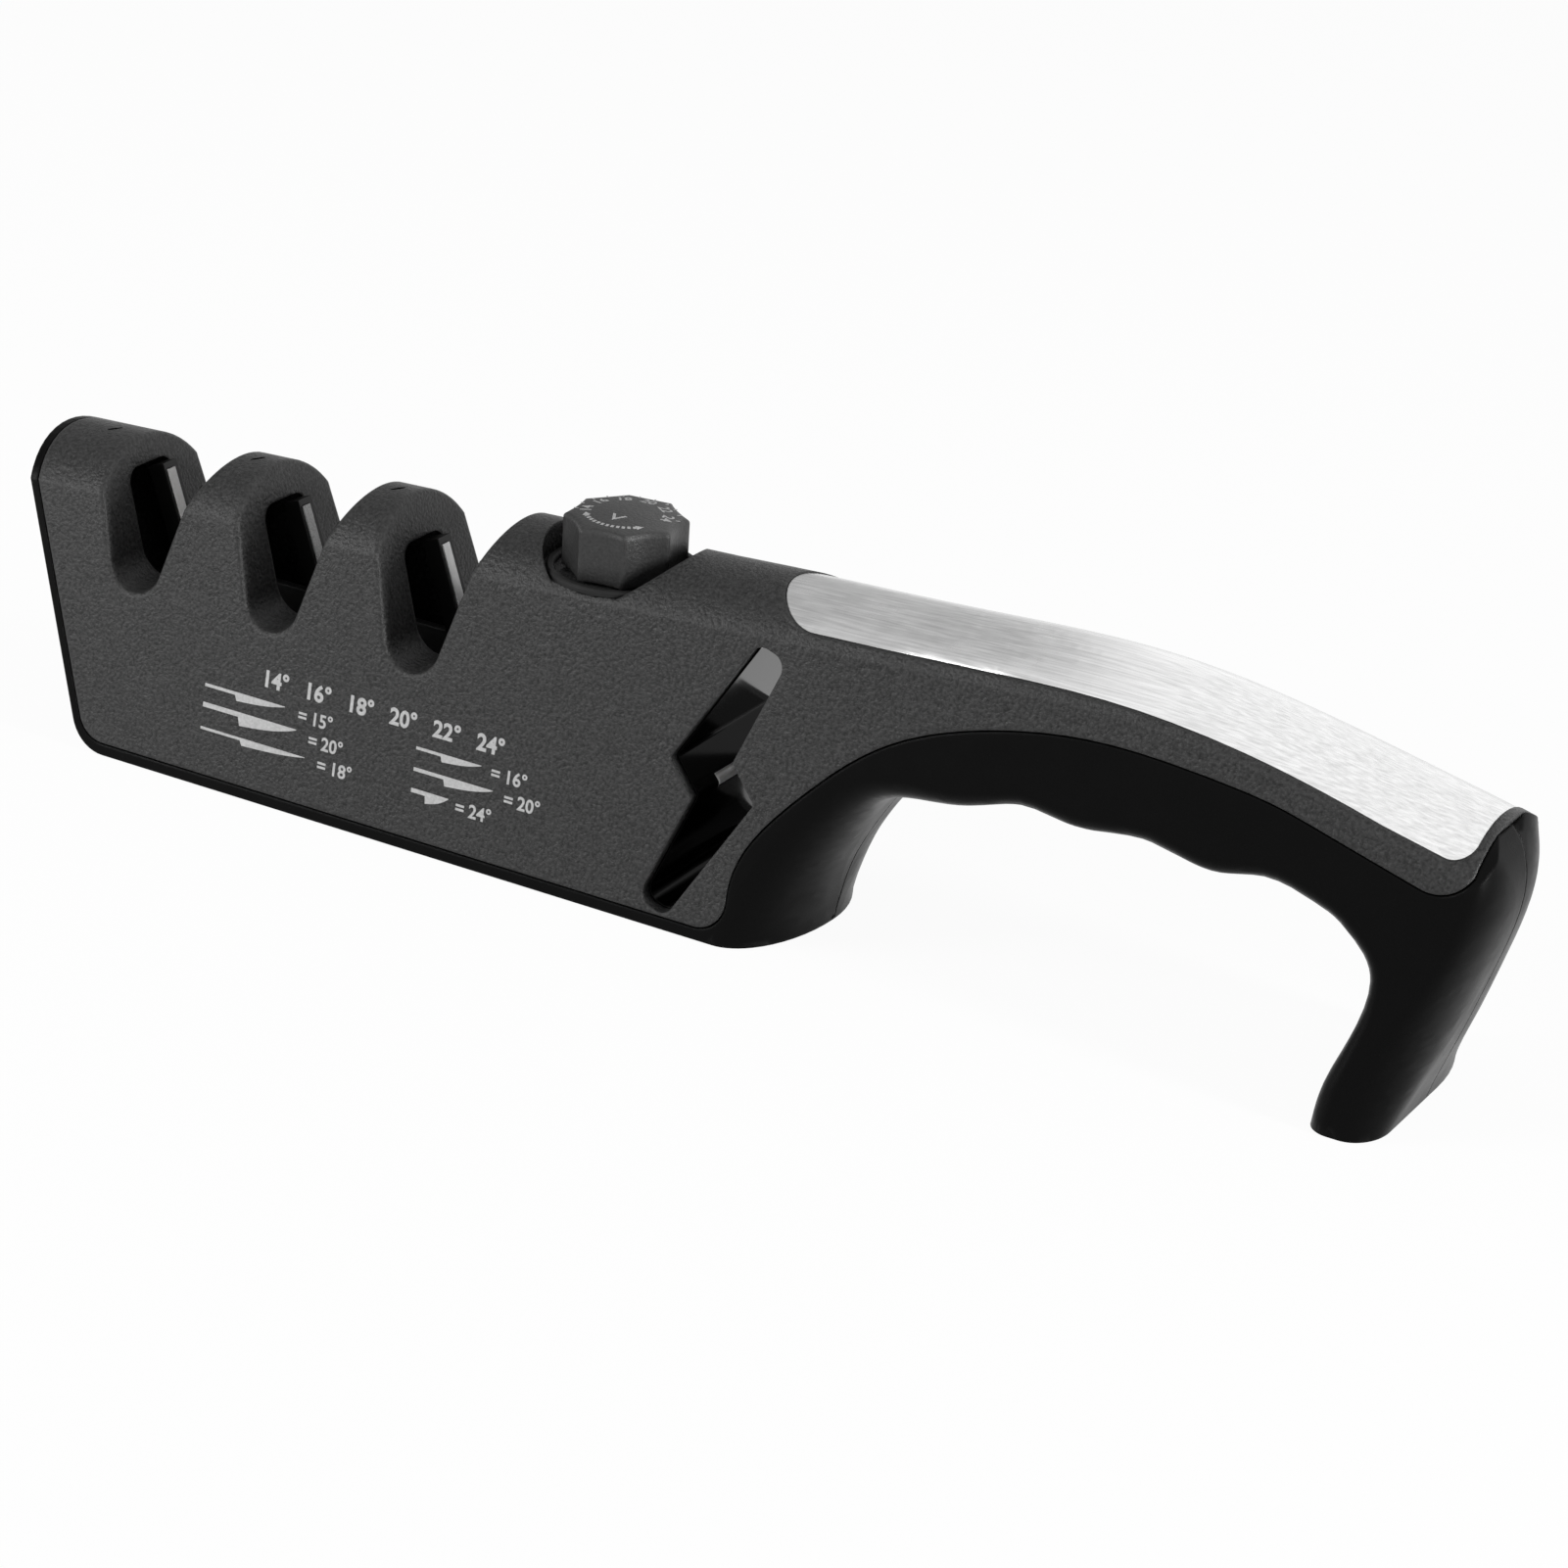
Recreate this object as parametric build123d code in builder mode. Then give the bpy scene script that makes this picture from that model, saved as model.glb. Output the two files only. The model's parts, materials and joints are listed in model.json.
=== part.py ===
from build123d import *
from math import cos, pi, radians, sin, sqrt, tan
import os

os.makedirs("parts", exist_ok=True)

# Pull through knife sharpener with three knife slots, an angle knob, a scissors slot and a bridge handle.
# Frame: +Z up, +X towards the handle, origin at the middle of the flat base's underside.

# Driving sizes of the body, in millimetres and degrees
base_width = 45.0
side_draft = 9.4
end_rake = 20.0
first_slot_inset = 8.25
slot_pitch = 31.0
slot_count = 3
knob_spacing = 33.7
scissors_spacing = 30.4
nose_inset = 16.15
handle_length = 125.4
body_height = 64.2
wall = 2.4
top_wall = 2.6
seam_gap = 0.3
seat_gap = 0.05
parting_gap = 0.1
overrun = 2.0

# Places along the body that follow from them
base_length = first_slot_inset + (slot_count - 1) * slot_pitch + knob_spacing + scissors_spacing + nose_inset
left_x = -base_length / 2
nose_x = base_length / 2
slot_xs = [left_x + first_slot_inset + i * slot_pitch for i in range(slot_count)]
knob_x = slot_xs[-1] + knob_spacing
scissors_x = knob_x + scissors_spacing

# Base, rim and the foot of the line between cover and frame
base_strip = 2.3
rim = 1.8
base_corner = 8.0
cover_corner = 6.0
arch_corner_run = 5.7
tray_end_inset = 13.0

# Knife slots and the windows in their walls
slot_floor_z = 31.6
slot_radius = 5.85
slot_left_angle = 14.0
slot_right_angle = 16.5
slot_wall = 1.6
mouth_round = 0.8
window_half_width = 6.4
window_top_z = 50.4
window_reach = 11.6
window_corner = 3.0

# Angle knob, its recess and shaft
knob_top_z = 65.4
knob_height = 10.4
knob_radius = 11.1
knob_corner_phase = 29.9
knob_sides = 8
knob_flute_depth = 0.5
knob_crown = 0.8
knob_edge = 0.8
recess_radius = 14.5
recess_floor_z = 54.3
recess_floor_wall = 2.0
shaft_radius = 4.0
shaft_top_z = 61.0
shaft_foot_z = 6.6
knob_screw_length = 9.0
shaft_foot_radius = 2.5
running_gap = 0.08
side_gap = 0.3
bezel_outer = 13.9
bezel_inner = 12.3
bezel_height = 1.1

# Blade holders, their inserts and pivots
blade_angle = 20.0
angle_min = 14.0
angle_max = 24.0
knob_per_degree = 18.0
angle_first = -(angle_max - blade_angle) * knob_per_degree
angle_last = (blade_angle - angle_min) * knob_per_degree
pivot_z = 27.0
cross_z = 35.0
pivot_radius = 1.5
hub_radius = 3.4
holder_inner_y = 0.15
holder_outer_y = 4.2
holder_face = 0.3
holder_back = 4.0
cheek = 0.5
insert_width = 2.1
insert_depth = 2.6
insert_start = 5.0
insert_length = 18.0
insert_gap = 0.05
holder_lip = 1.2
arm_length = 11.0
arm_width = 4.0
peg_radius = 1.2

# Slide bars, scroll cam and detent
bar_inner_y = 4.6
bar_thickness = 2.2
bar_height = 7.0
bar_end = 4.0
peg_slot_half = 2.2
peg_gap = 0.1
cross_piece_height = 2.6
cross_half_width = 1.7
cam_peg_radius = 0.9
front_cam_reach = 11.6
rear_cam_reach = 6.6
cam_thickness = 3.0
cam_lift = 0.8
cam_radius = 15.2
groove_margin = 9.0
groove_points = 14
click_depth = 0.6
ball_radius = 1.5
ball_gap = 0.1
spring_wire = 0.2
spring_radius = 1.1
spring_turns = 4
spring_nest = 0.3

# Chassis that carries the pivots, the bars and the foot of the shaft
chassis_wall_y = 8.0
chassis_wall = 1.8
chassis_floor = 1.8
chassis_top_z = 29.6
chassis_inset = 5.6
chassis_reach = 7.0
ledge_thickness = 1.6
boss_radius = 4.0
boss_top_z = 15.0
detent_half_width = 3.0
detent_post_length = 8.5
bore_floor = 1.5
foot_thickness = 1.3
bridge_thickness = 2.2
bridge_half_width = 6.0

# Handle strip
strip_sink = 0.25
strip_thickness = 0.8
strip_bed = 0.1
strip_gap = 0.15
strip_margin_start = 1.75
strip_margin_end = 1.15
strip_start_inset = 11.7
strip_nose_length = 10.5
strip_end_inset = 5.5
strip_corner = 4.0

# Scissors slot: half of its Z outline about its middle, its lining and hard rods
scissors_z = 28.1
scissors_top_left = (5.4, 25.8)
scissors_top_right = (11.4, 23.9)
scissors_notch = (3.6, 4.2)
scissors_point = (8.9, -1.9)
scissors_end_radius = 2.6
scissors_bend_radius = 1.0
lining_wall = 1.6
lining_step = 0.3
rod_radius = 1.2
rod_half_length = 9.0
rod_set = 0.9
rod_drop = 0.3

# Base pad, screws and screw posts
pad_length = 112.0
pad_width = 22.0
pad_thickness = 1.2
pad_corner = 4.0
pad_gap = 0.1
pad_shift = 0.5
screw_radius = 1.4
screw_head_radius = 2.7
screw_head_height = 1.1
screw_head_sink = 0.15
screw_length = 12.0
screw_inset = 15.5
screw_offset = 0.5
post_radius = 3.4
rib_thickness = 1.8
post_y = 14.3
post_top_z = 17.0
grip_screw_depth = 7.0
grip_screw_sink = 1.0

# Shoulder and crown of the body at even stations along it, as shares of body_height
crown_start_share = -0.204
crown_end_share = 1.045
shoulder_shares = [0.727, 0.749, 0.768, 0.784, 0.802, 0.824, 0.847, 0.868, 0.888, 0.903, 0.875, 0.793, 0.678]
crown_shares = [0.840, 0.861, 0.882, 0.902, 0.921, 0.939, 0.956, 0.977, 0.998, 1.013, 0.971, 0.885, 0.773]
crown_start = left_x + crown_start_share * base_length
crown_end = nose_x + crown_end_share * handle_length
station_pitch = (crown_end - crown_start) / (len(crown_shares) - 1)
station_xs = [crown_start + i * station_pitch for i in range(len(crown_shares))]
stations = [(x, s * body_height, c * body_height) for x, s, c in zip(station_xs, shoulder_shares, crown_shares)]

# Line between the cover and the frame under the handle, as shares of handle_length and body_height
arch_x_shares = [-0.080, -0.011, 0.121, 0.289, 0.460, 0.632, 0.904]
arch_z_shares = [0.125, 0.419, 0.657, 0.787, 0.829, 0.808, 0.685]
arch_end_shares = (0.969, 0.740)
arch_end_slope = -0.26
arch_points = 16

# Black frame from the nose round the handle to the tail's tip. Each row holds, as shares of handle_length and
# body_height, a point on the hollow side and one on the other side, then the depth and width of the rounding of
# the hollow side and of the other side, as shares of base_width
band_shares = [
    (0.002, -0.031, -0.200, -0.031, 0.244, 0.440, 0.022, 0.022),
    (0.016, 0.140, -0.200, 0.187, 0.233, 0.420, 0.022, 0.022),
    (0.043, 0.271, -0.170, 0.374, 0.211, 0.360, 0.022, 0.022),
    (0.081, 0.396, -0.066, 0.576, 0.178, 0.270, 0.022, 0.022),
    (0.114, 0.472, 0.014, 0.717, 0.140, 0.180, 0.022, 0.022),
    (0.170, 0.516, 0.134, 0.732, 0.105, 0.120, 0.022, 0.022),
    (0.237, 0.540, 0.213, 0.810, 0.080, 0.085, 0.022, 0.022),
    (0.281, 0.567, 0.265, 0.841, 0.067, 0.067, 0.022, 0.022),
    (0.333, 0.592, 0.325, 0.865, 0.067, 0.067, 0.022, 0.022),
    (0.414, 0.577, 0.414, 0.888, 0.067, 0.067, 0.022, 0.022),
    (0.512, 0.594, 0.516, 0.891, 0.067, 0.067, 0.022, 0.022),
    (0.618, 0.564, 0.628, 0.872, 0.067, 0.067, 0.022, 0.022),
    (0.688, 0.587, 0.708, 0.849, 0.067, 0.067, 0.022, 0.022),
    (0.760, 0.560, 0.803, 0.833, 0.067, 0.067, 0.022, 0.022),
    (0.800, 0.528, 0.915, 0.875, 0.067, 0.067, 0.033, 0.040),
    (0.823, 0.495, 0.966, 0.824, 0.067, 0.067, 0.060, 0.075),
    (0.838, 0.468, 0.987, 0.776, 0.067, 0.067, 0.100, 0.130),
    (0.849, 0.436, 0.998, 0.710, 0.067, 0.067, 0.150, 0.210),
    (0.854, 0.374, 0.996, 0.576, 0.067, 0.067, 0.210, 0.320),
    (0.846, 0.288, 0.970, 0.393, 0.067, 0.067, 0.211, 0.340),
    (0.831, 0.202, 0.946, 0.246, 0.067, 0.067, 0.211, 0.320),
    (0.816, 0.117, 0.923, 0.120, 0.073, 0.073, 0.180, 0.260),
    (0.808, 0.039, 0.907, 0.028, 0.089, 0.089, 0.140, 0.190),
    (0.804, -0.031, 0.898, -0.037, 0.100, 0.100, 0.120, 0.160),
]
rear_depth_ratio = 1.7
rear_depth_limit = 0.85
rear_width_ratio = 2.2
rear_flat = 1.0

# Screws through the rear half of the frame, as shares of handle_length and body_height
grip_screw_shares = [(0.10, 0.56), (0.44, 0.70), (0.90, 0.45)]


def half_width(z):
    """Half the body's width at a height, between its two drafted sides."""
    return base_width / 2 - z * tan(radians(side_draft))


def handle_point(x_share, z_share):
    """A point of a side outline under the handle."""
    return nose_x + x_share * handle_length, z_share * body_height


def arch_blank(inset=0.0):
    """Everything under the crowned top, wider than the sides, with the top set in by inset."""
    with BuildPart() as blank:
        for x, shoulder, crown in stations:
            edge = half_width(shoulder)
            rise = crown - shoulder
            radius = (edge**2 + rise**2) / (2 * rise)
            reach = edge + overrun - inset
            inner = radius - inset
            side_z = crown - radius + sqrt(inner**2 - reach**2)
            wide = base_width / 2 + overrun
            with BuildSketch(Plane.YZ.offset(x)):
                with BuildLine():
                    ThreePointArc((-reach, side_z), (0, crown - inset), (reach, side_z))
                    Polyline(
                        (reach, side_z), (wide, side_z), (wide, -overrun),
                        (-wide, -overrun), (-wide, side_z), (-reach, side_z),
                    )
                make_face()
        loft()
    return blank.part


def side_blank(inset=0.0):
    """The long block between the two drafted sides, set in by inset."""
    low = half_width(-overrun) - inset
    high = half_width(body_height + overrun) - inset
    with BuildPart() as blank:
        with BuildSketch(Plane.YZ.offset(station_xs[0])):
            Polygon(
                (-low, -overrun), (low, -overrun),
                (high, body_height + overrun), (-high, body_height + overrun),
                align=None,
            )
        extrude(amount=station_xs[-1] - station_xs[0])
    return blank.part


def across(face):
    """A side outline extruded across the whole width of the body."""
    with BuildPart() as prism:
        extrude(Pos(0, base_width, 0) * face, amount=2 * base_width)
    return prism.part


def lengthwise(face, x_low, x_high):
    """A cross outline extruded along the body between two places."""
    with BuildPart() as prism:
        extrude(Pos(x_low, 0, 0) * face, amount=x_high - x_low)
    return prism.part


def corner_vertex(outline):
    """The lower left corner of a side outline."""
    return outline.vertices().group_by(Axis.Y)[0].sort_by(Axis.X)[0]


def cover_face(grow=0.0):
    """Side outline of the cover, grown all round by grow."""
    top = body_height + 2 * overrun
    lean = tan(radians(end_rake))
    slant = grow / cos(radians(end_rake))
    foot_x = left_x + rim / cos(radians(end_rake)) - base_strip * lean
    arch = [handle_point(x, z) for x, z in zip(arch_x_shares, arch_z_shares)]
    end_x, end_z = handle_point(*arch_end_shares)
    floor = Line((foot_x, base_strip), (arch[0][0] - arch_corner_run, base_strip))
    corner = TangentArc(floor @ 1, arch[0], tangent=(1, 0))
    curve = Spline(*arch, tangents=[corner % 1, (1, arch_end_slope)])
    turn = TangentArc(curve @ 1, (end_x, end_z), tangent=curve % 1)

    def grown(edge, share):
        place = edge @ share
        along = edge % share
        return place.X + grow * along.Y, place.Y - grow * along.X

    foot = (foot_x + grow * lean - slant, base_strip - grow)
    with BuildSketch(Plane.XZ) as outline:
        with BuildLine():
            Line(foot, grown(floor, 1))
            ThreePointArc(grown(corner, 0), grown(corner, 1 / 2), grown(corner, 1))
            Spline(*[grown(curve, i / arch_points) for i in range(arch_points + 1)])
            ThreePointArc(grown(turn, 0), grown(turn, 1 / 2), grown(turn, 1))
            Polyline(
                grown(turn, 1), (end_x + seam_gap + grow, top),
                (foot_x - (top - base_strip) * lean - slant, top), foot,
            )
        make_face()
        fillet(corner_vertex(outline), cover_corner + grow)
    return outline.sketch


def slot_face(x, grow=0.0):
    """Side outline of one knife slot: a round floor and two splayed walls."""
    centre_z = slot_floor_z + slot_radius
    top = body_height + 2 * overrun
    r = slot_radius + grow
    left_a = radians(slot_left_angle)
    right_a = radians(slot_right_angle)
    left = (x - r * cos(left_a), centre_z - r * sin(left_a))
    right = (x + r * cos(right_a), centre_z - r * sin(right_a))
    left_top = (left[0] - (top - left[1]) * tan(left_a), top)
    right_top = (right[0] + (top - right[1]) * tan(right_a), top)
    with BuildSketch(Plane.XZ) as outline:
        with BuildLine():
            ThreePointArc(left, (x, centre_z - r), right)
            Polyline(right, right_top, left_top, left)
        make_face()
    return outline.sketch


def is_mouth(edge):
    """Whether an edge bounds a knife slot outside: across the whole crown or on one of the drafted sides."""
    box = edge.bounding_box()
    beside = any(x - slot_pitch / 2 < box.min.X and box.max.X < x + slot_pitch / 2 for x in slot_xs)
    across_crown = box.size.Y > 2 * half_width(body_height) + wall
    points = [edge @ 0.25, edge @ 0.5]
    on_side = all(abs(abs(point.Y) - half_width(point.Z)) < seat_gap for point in points)
    return beside and box.min.Z > slot_floor_z - wall and (across_crown or on_side)


def scissors_face(grow=0.0):
    """Z outline of the scissors slot, grown all round by grow."""
    half = [scissors_top_left, scissors_top_right, scissors_notch, scissors_point]
    points = [(scissors_x + a, scissors_z + b) for a, b in half]
    points += [(scissors_x - a, scissors_z - b) for a, b in half]
    with BuildSketch(Plane.XZ) as outline:
        Polygon(*points, align=None)
        ends = outline.vertices().sort_by(Axis.Y)
        fillet(ends[:2] + ends[-2:], scissors_end_radius)
        bends = outline.vertices().sort_by(Axis.Y)[4:-4]
        fillet(bends, scissors_bend_radius)
        if grow:
            offset(amount=grow)
    return outline.sketch


def strip_plan(grow=0.0):
    """Plan of the handle strip, grown all round: an elliptic nose, sides along the shoulder and a square end."""
    start = nose_x - strip_start_inset + strip_nose_length
    end = nose_x + handle_length - strip_end_inset
    rail = []
    for x, z, _ in stations:
        if start < x < end:
            share = (x - start) / (end - start)
            margin = strip_margin_start + share * (strip_margin_end - strip_margin_start)
            rail.append((x, half_width(z) - margin + grow))
    side = Spline((start, rail[0][1]), *rail, tangents=[(1, 0), (rail[-1][0] - rail[-2][0], rail[-1][1] - rail[-2][1])])
    with BuildSketch(Plane.XY) as plan:
        with BuildLine():
            edge = add(side)
            last = rail[-1][1]
            Line((rail[-1][0], last), (end + grow, last))
            Line((end + grow, last), (end + grow, -last))
            Line((end + grow, -last), (rail[-1][0], -last))
            add(side.mirror(Plane.XZ))
            EllipticalCenterArc((start, 0), strip_nose_length + grow, rail[0][1], start_angle=90, arc_size=180)
        make_face()
        fillet(plan.vertices().group_by(Axis.X)[-1], strip_corner + grow)
    return plan.sketch


def raised(face, low, high):
    """A plan outline extruded from one height to another."""
    with BuildPart() as prism:
        with BuildSketch(Plane.XY.offset(low)):
            add(face)
        extrude(amount=high - low)
    return prism.part


def block(x_low, x_high, y_low, y_high, z_low, z_high):
    """A box between its six limits."""
    middle = Pos((x_low + x_high) / 2, (y_low + y_high) / 2, (z_low + z_high) / 2)
    return middle * Box(x_high - x_low, y_high - y_low, z_high - z_low, mode=Mode.PRIVATE)


def post(x, y, z_low, z_high, radius):
    """An upright round post."""
    return Pos(x, y, (z_low + z_high) / 2) * Cylinder(radius, z_high - z_low, mode=Mode.PRIVATE)


def pin_along_y(x, z, y_low, y_high, radius):
    """A round pin lying along Y."""
    return Pos(x, (y_low + y_high) / 2, z) * Rot(90, 0, 0) * Cylinder(radius, y_high - y_low, mode=Mode.PRIVATE)


# Heights and places shared by several pieces
lower_x = left_x + chassis_inset
chassis_z = base_strip - seam_gap + seat_gap
chassis_top = chassis_z + chassis_floor
bar_middle_z = pivot_z - arm_length
bar_low_z = bar_middle_z - bar_height / 2
bar_high_z = bar_middle_z + bar_height / 2
cam_low_z = bar_high_z + cam_lift
cam_high_z = cam_low_z + cam_thickness
cam_middle_z = (cam_low_z + cam_high_z) / 2
bridge_low_z = cam_high_z + cam_lift
bridge_high_z = bridge_low_z + bridge_thickness
knob_low_z = knob_top_z - knob_height
ball_x = knob_x - cam_radius - ball_gap - ball_radius
detent_end_x = knob_x - cam_radius - side_gap - ball_gap
detent_start_x = detent_end_x - detent_post_length
screw_places = [(x, y) for x in (slot_xs[0] + screw_inset, knob_x + screw_offset) for y in (-post_y, post_y)]
bar_start_x = slot_xs[0] - bar_end
front_peg_x = knob_x + front_cam_reach
rear_peg_x = knob_x - rear_cam_reach
lead = arm_length * (pi / 180) / radians(knob_per_degree)

# Upper cover: the dark grey shell with the three knife slots, the knob's recess and the bed of the strip
crown_solid = arch_blank()
side_solid = side_blank()
envelope = crown_solid & side_solid
cover_prism = across(cover_face())
inner_end_x = handle_point(*arch_end_shares)[0] - wall
lean = tan(radians(end_rake))
inner_top = body_height + overrun
inner_left_x = left_x + (rim + wall) / cos(radians(end_rake))
with BuildSketch(Plane.XZ) as hollow_outline:
    Polygon(
        (inner_left_x + overrun * lean, -overrun), (inner_end_x, -overrun),
        (inner_end_x, inner_top), (inner_left_x - inner_top * lean, inner_top),
        align=None,
    )
hollow = arch_blank(top_wall) & side_blank(wall) & across(hollow_outline.sketch)
inside = side_blank(wall / 2) & arch_blank(wall / 2) & cover_prism
slot_tubs = [across(slot_face(x, slot_wall)) & inside for x in slot_xs]
slot_cuts = [across(slot_face(x)) for x in slot_xs]
scissors_cut = across(scissors_face())
bed = raised(strip_plan(strip_gap), slot_floor_z, body_height + overrun)
bed = bed - arch_blank(strip_sink + strip_thickness + strip_bed)

with BuildSketch(Plane.YZ) as window_outline:
    with Locations((0, (bar_high_z + window_top_z) / 2)):
        Rectangle(2 * window_half_width, window_top_z - bar_high_z)
    fillet(window_outline.vertices().group_by(Axis.Y)[-1], window_corner)

cover_solid = envelope & cover_prism
cover_solid = cover_solid - hollow
for tub in slot_tubs:
    cover_solid = cover_solid + tub
cup = post(knob_x, 0, recess_floor_z - recess_floor_wall, body_height, recess_radius + wall)
cover_solid = cover_solid + (cup & inside)
for slot in slot_cuts:
    cover_solid = cover_solid - slot
cover_solid = cover_solid - scissors_cut
cover_solid = cover_solid - bed
cover_solid = cover_solid - post(knob_x, 0, recess_floor_z, body_height + overrun, recess_radius)
cover_solid = cover_solid - post(knob_x, 0, bridge_high_z, body_height, shaft_radius + running_gap)
for x in slot_xs:
    cover_solid = cover_solid - lengthwise(window_outline.sketch, x - window_reach, x + window_reach)
for x, y in screw_places:
    rib_low, rib_high = sorted((y, y / post_y * half_width(0)))
    rib = block(
        x - rib_thickness / 2, x + rib_thickness / 2, rib_low, rib_high, chassis_top + seat_gap, post_top_z
    )
    cover_solid = cover_solid + post(x, y, chassis_top + seat_gap, post_top_z, post_radius)
    cover_solid = cover_solid + (rib & inside)
    cover_solid = cover_solid - post(x, y, 0, post_top_z - wall, screw_radius + seat_gap / 2)
with BuildPart() as upper_cover:
    add(cover_solid, clean=False)
    fillet([edge for edge in upper_cover.edges() if is_mouth(edge)], mouth_round)
upper_cover.part.label = "upper_cover"
export_step(upper_cover.part, "parts/upper_cover.step")


def band_section(row):
    """One section of the black frame, between its hollow side and its other side; the rear corners are rounder."""
    hx, hz, ox, oz, in_depth, in_width, out_depth, out_width = row
    near = Vector(handle_point(hx, hz)[0], 0, handle_point(hx, hz)[1])
    far = Vector(handle_point(ox, oz)[0], 0, handle_point(ox, oz)[1])
    run = (far - near).length
    up = (far - near) / run
    corners = []
    for depth_ratio, width_ratio in ((1, 1), (rear_depth_ratio, rear_width_ratio)):
        in_d = in_depth * base_width
        out_d = out_depth * base_width
        if in_d > out_d:
            in_d = min(in_d * depth_ratio, rear_depth_limit * (run - out_d))
        else:
            out_d = min(out_d * depth_ratio, rear_depth_limit * (run - in_d))
        low = half_width(near.Z + up.Z * in_d)
        high = half_width(near.Z + up.Z * (run - out_d))
        in_w = in_width * base_width
        out_w = min(out_width * base_width * width_ratio, high - rear_flat)
        corners.append((in_d, in_w, low, out_d, out_w, high))
    (f_in_d, f_in_w, f_low, f_out_d, f_out_w, f_high), (r_in_d, r_in_w, r_low, r_out_d, r_out_w, r_high) = corners
    with BuildSketch(Plane(origin=near, x_dir=(0, 1, 0), z_dir=(up.Z, 0, -up.X))) as section:
        with BuildLine():
            Line((f_in_w - f_low, 0), (r_low - r_in_w, 0))
            EllipticalCenterArc((r_low - r_in_w, r_in_d), r_in_w, r_in_d, start_angle=270, arc_size=90)
            Line((r_low, r_in_d), (r_high, run - r_out_d))
            EllipticalCenterArc((r_high - r_out_w, run - r_out_d), r_out_w, r_out_d, start_angle=0, arc_size=90)
            Line((r_high - r_out_w, run), (f_out_w - f_high, run))
            EllipticalCenterArc((f_out_w - f_high, run - f_out_d), f_out_w, f_out_d, start_angle=90, arc_size=90)
            Line((-f_high, run - f_out_d), (-f_low, f_in_d))
            EllipticalCenterArc((f_in_w - f_low, f_in_d), f_in_w, f_in_d, start_angle=180, arc_size=90)
        make_face()
    return section.sketch


# Black frame: a tray under the cover and the band round the nose, the handle and the tail
tray_end_x = nose_x - tray_end_inset
with BuildSketch(Plane.XZ) as tray_outline:
    Polygon(
        (left_x, 0), (tray_end_x, 0), (tray_end_x, inner_top), (left_x - inner_top * lean, inner_top),
        align=None,
    )
    fillet(corner_vertex(tray_outline), base_corner)
seam_prism = across(cover_face(seam_gap))
sections = [band_section(row) for row in band_shares]
with BuildPart() as band:
    for section in sections:
        add(section)
    loft(sections=sections)
ground = block(station_xs[0], station_xs[-1], -base_width, base_width, 0, body_height + overrun)
frame_solid = ((across(tray_outline.sketch) & side_solid) + (band.part & ground)) & crown_solid
frame_solid = frame_solid - seam_prism
pad_x = (lower_x + tray_end_x) / 2 - pad_shift
with BuildSketch() as pad_outline:
    with Locations((pad_x, 0)):
        RectangleRounded(pad_length + 2 * pad_gap, pad_width + 2 * pad_gap, pad_corner)
frame_solid = frame_solid - raised(pad_outline.sketch, -overrun, pad_thickness + pad_gap)
for x, y in screw_places:
    frame_solid = frame_solid - post(x, y, -overrun, screw_head_sink + screw_head_height, screw_head_radius + seat_gap)
    frame_solid = frame_solid - post(x, y, -overrun, base_strip, screw_radius + seat_gap)
grip_screws = [handle_point(*share) for share in grip_screw_shares]
for x, z in grip_screws:
    head_y = half_width(z) - grip_screw_sink
    frame_solid = frame_solid - pin_along_y(x, z, head_y - screw_head_height, base_width, screw_head_radius + seat_gap)
    frame_solid = frame_solid - pin_along_y(x, z, -grip_screw_depth, base_width, screw_radius + seat_gap)

front_half = frame_solid & block(station_xs[0], station_xs[-1], -base_width, -parting_gap, -overrun, inner_top)
with BuildPart() as front_frame:
    add(front_half, clean=False)
front_frame.part.label = "front_frame"
export_step(front_frame.part, "parts/front_frame.step")

rear_half = frame_solid & block(station_xs[0], station_xs[-1], parting_gap, base_width, -overrun, inner_top)
with BuildPart() as rear_frame:
    add(rear_half, clean=False)
rear_frame.part.label = "rear_frame"
export_step(rear_frame.part, "parts/rear_frame.step")

with BuildPart() as frame_screws:
    for x, z in grip_screws:
        head_y = half_width(z) - grip_screw_sink
        add(pin_along_y(x, z, head_y - screw_head_height + seat_gap, head_y, screw_head_radius))
        add(pin_along_y(x, z, -grip_screw_depth + seat_gap, head_y - screw_head_height + seat_gap, screw_radius))
frame_screws.part.label = "frame_screws"
export_step(frame_screws.part, "parts/frame_screws.step")

with BuildPart() as base_screws:
    for x, y in screw_places:
        add(post(x, y, screw_head_sink, screw_head_sink + screw_head_height - seat_gap, screw_head_radius))
        add(post(x, y, screw_head_sink + screw_head_height - seat_gap, screw_length, screw_radius))
base_screws.part.label = "base_screws"
export_step(base_screws.part, "parts/base_screws.step")

with BuildPart() as base_pad:
    with BuildSketch():
        with Locations((pad_x, 0)):
            RectangleRounded(pad_length, pad_width, pad_corner)
    extrude(amount=pad_thickness)
base_pad.part.label = "base_pad"
export_step(base_pad.part, "parts/base_pad.step")

# Brushed strip let into the crown of the handle
strip_blank = raised(strip_plan(), slot_floor_z, body_height + overrun) & arch_blank(strip_sink)
strip_blank = strip_blank - arch_blank(strip_sink + strip_thickness)
with BuildPart() as handle_strip:
    add(strip_blank)
handle_strip.part.label = "handle_strip"
export_step(handle_strip.part, "parts/handle_strip.step")

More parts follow.
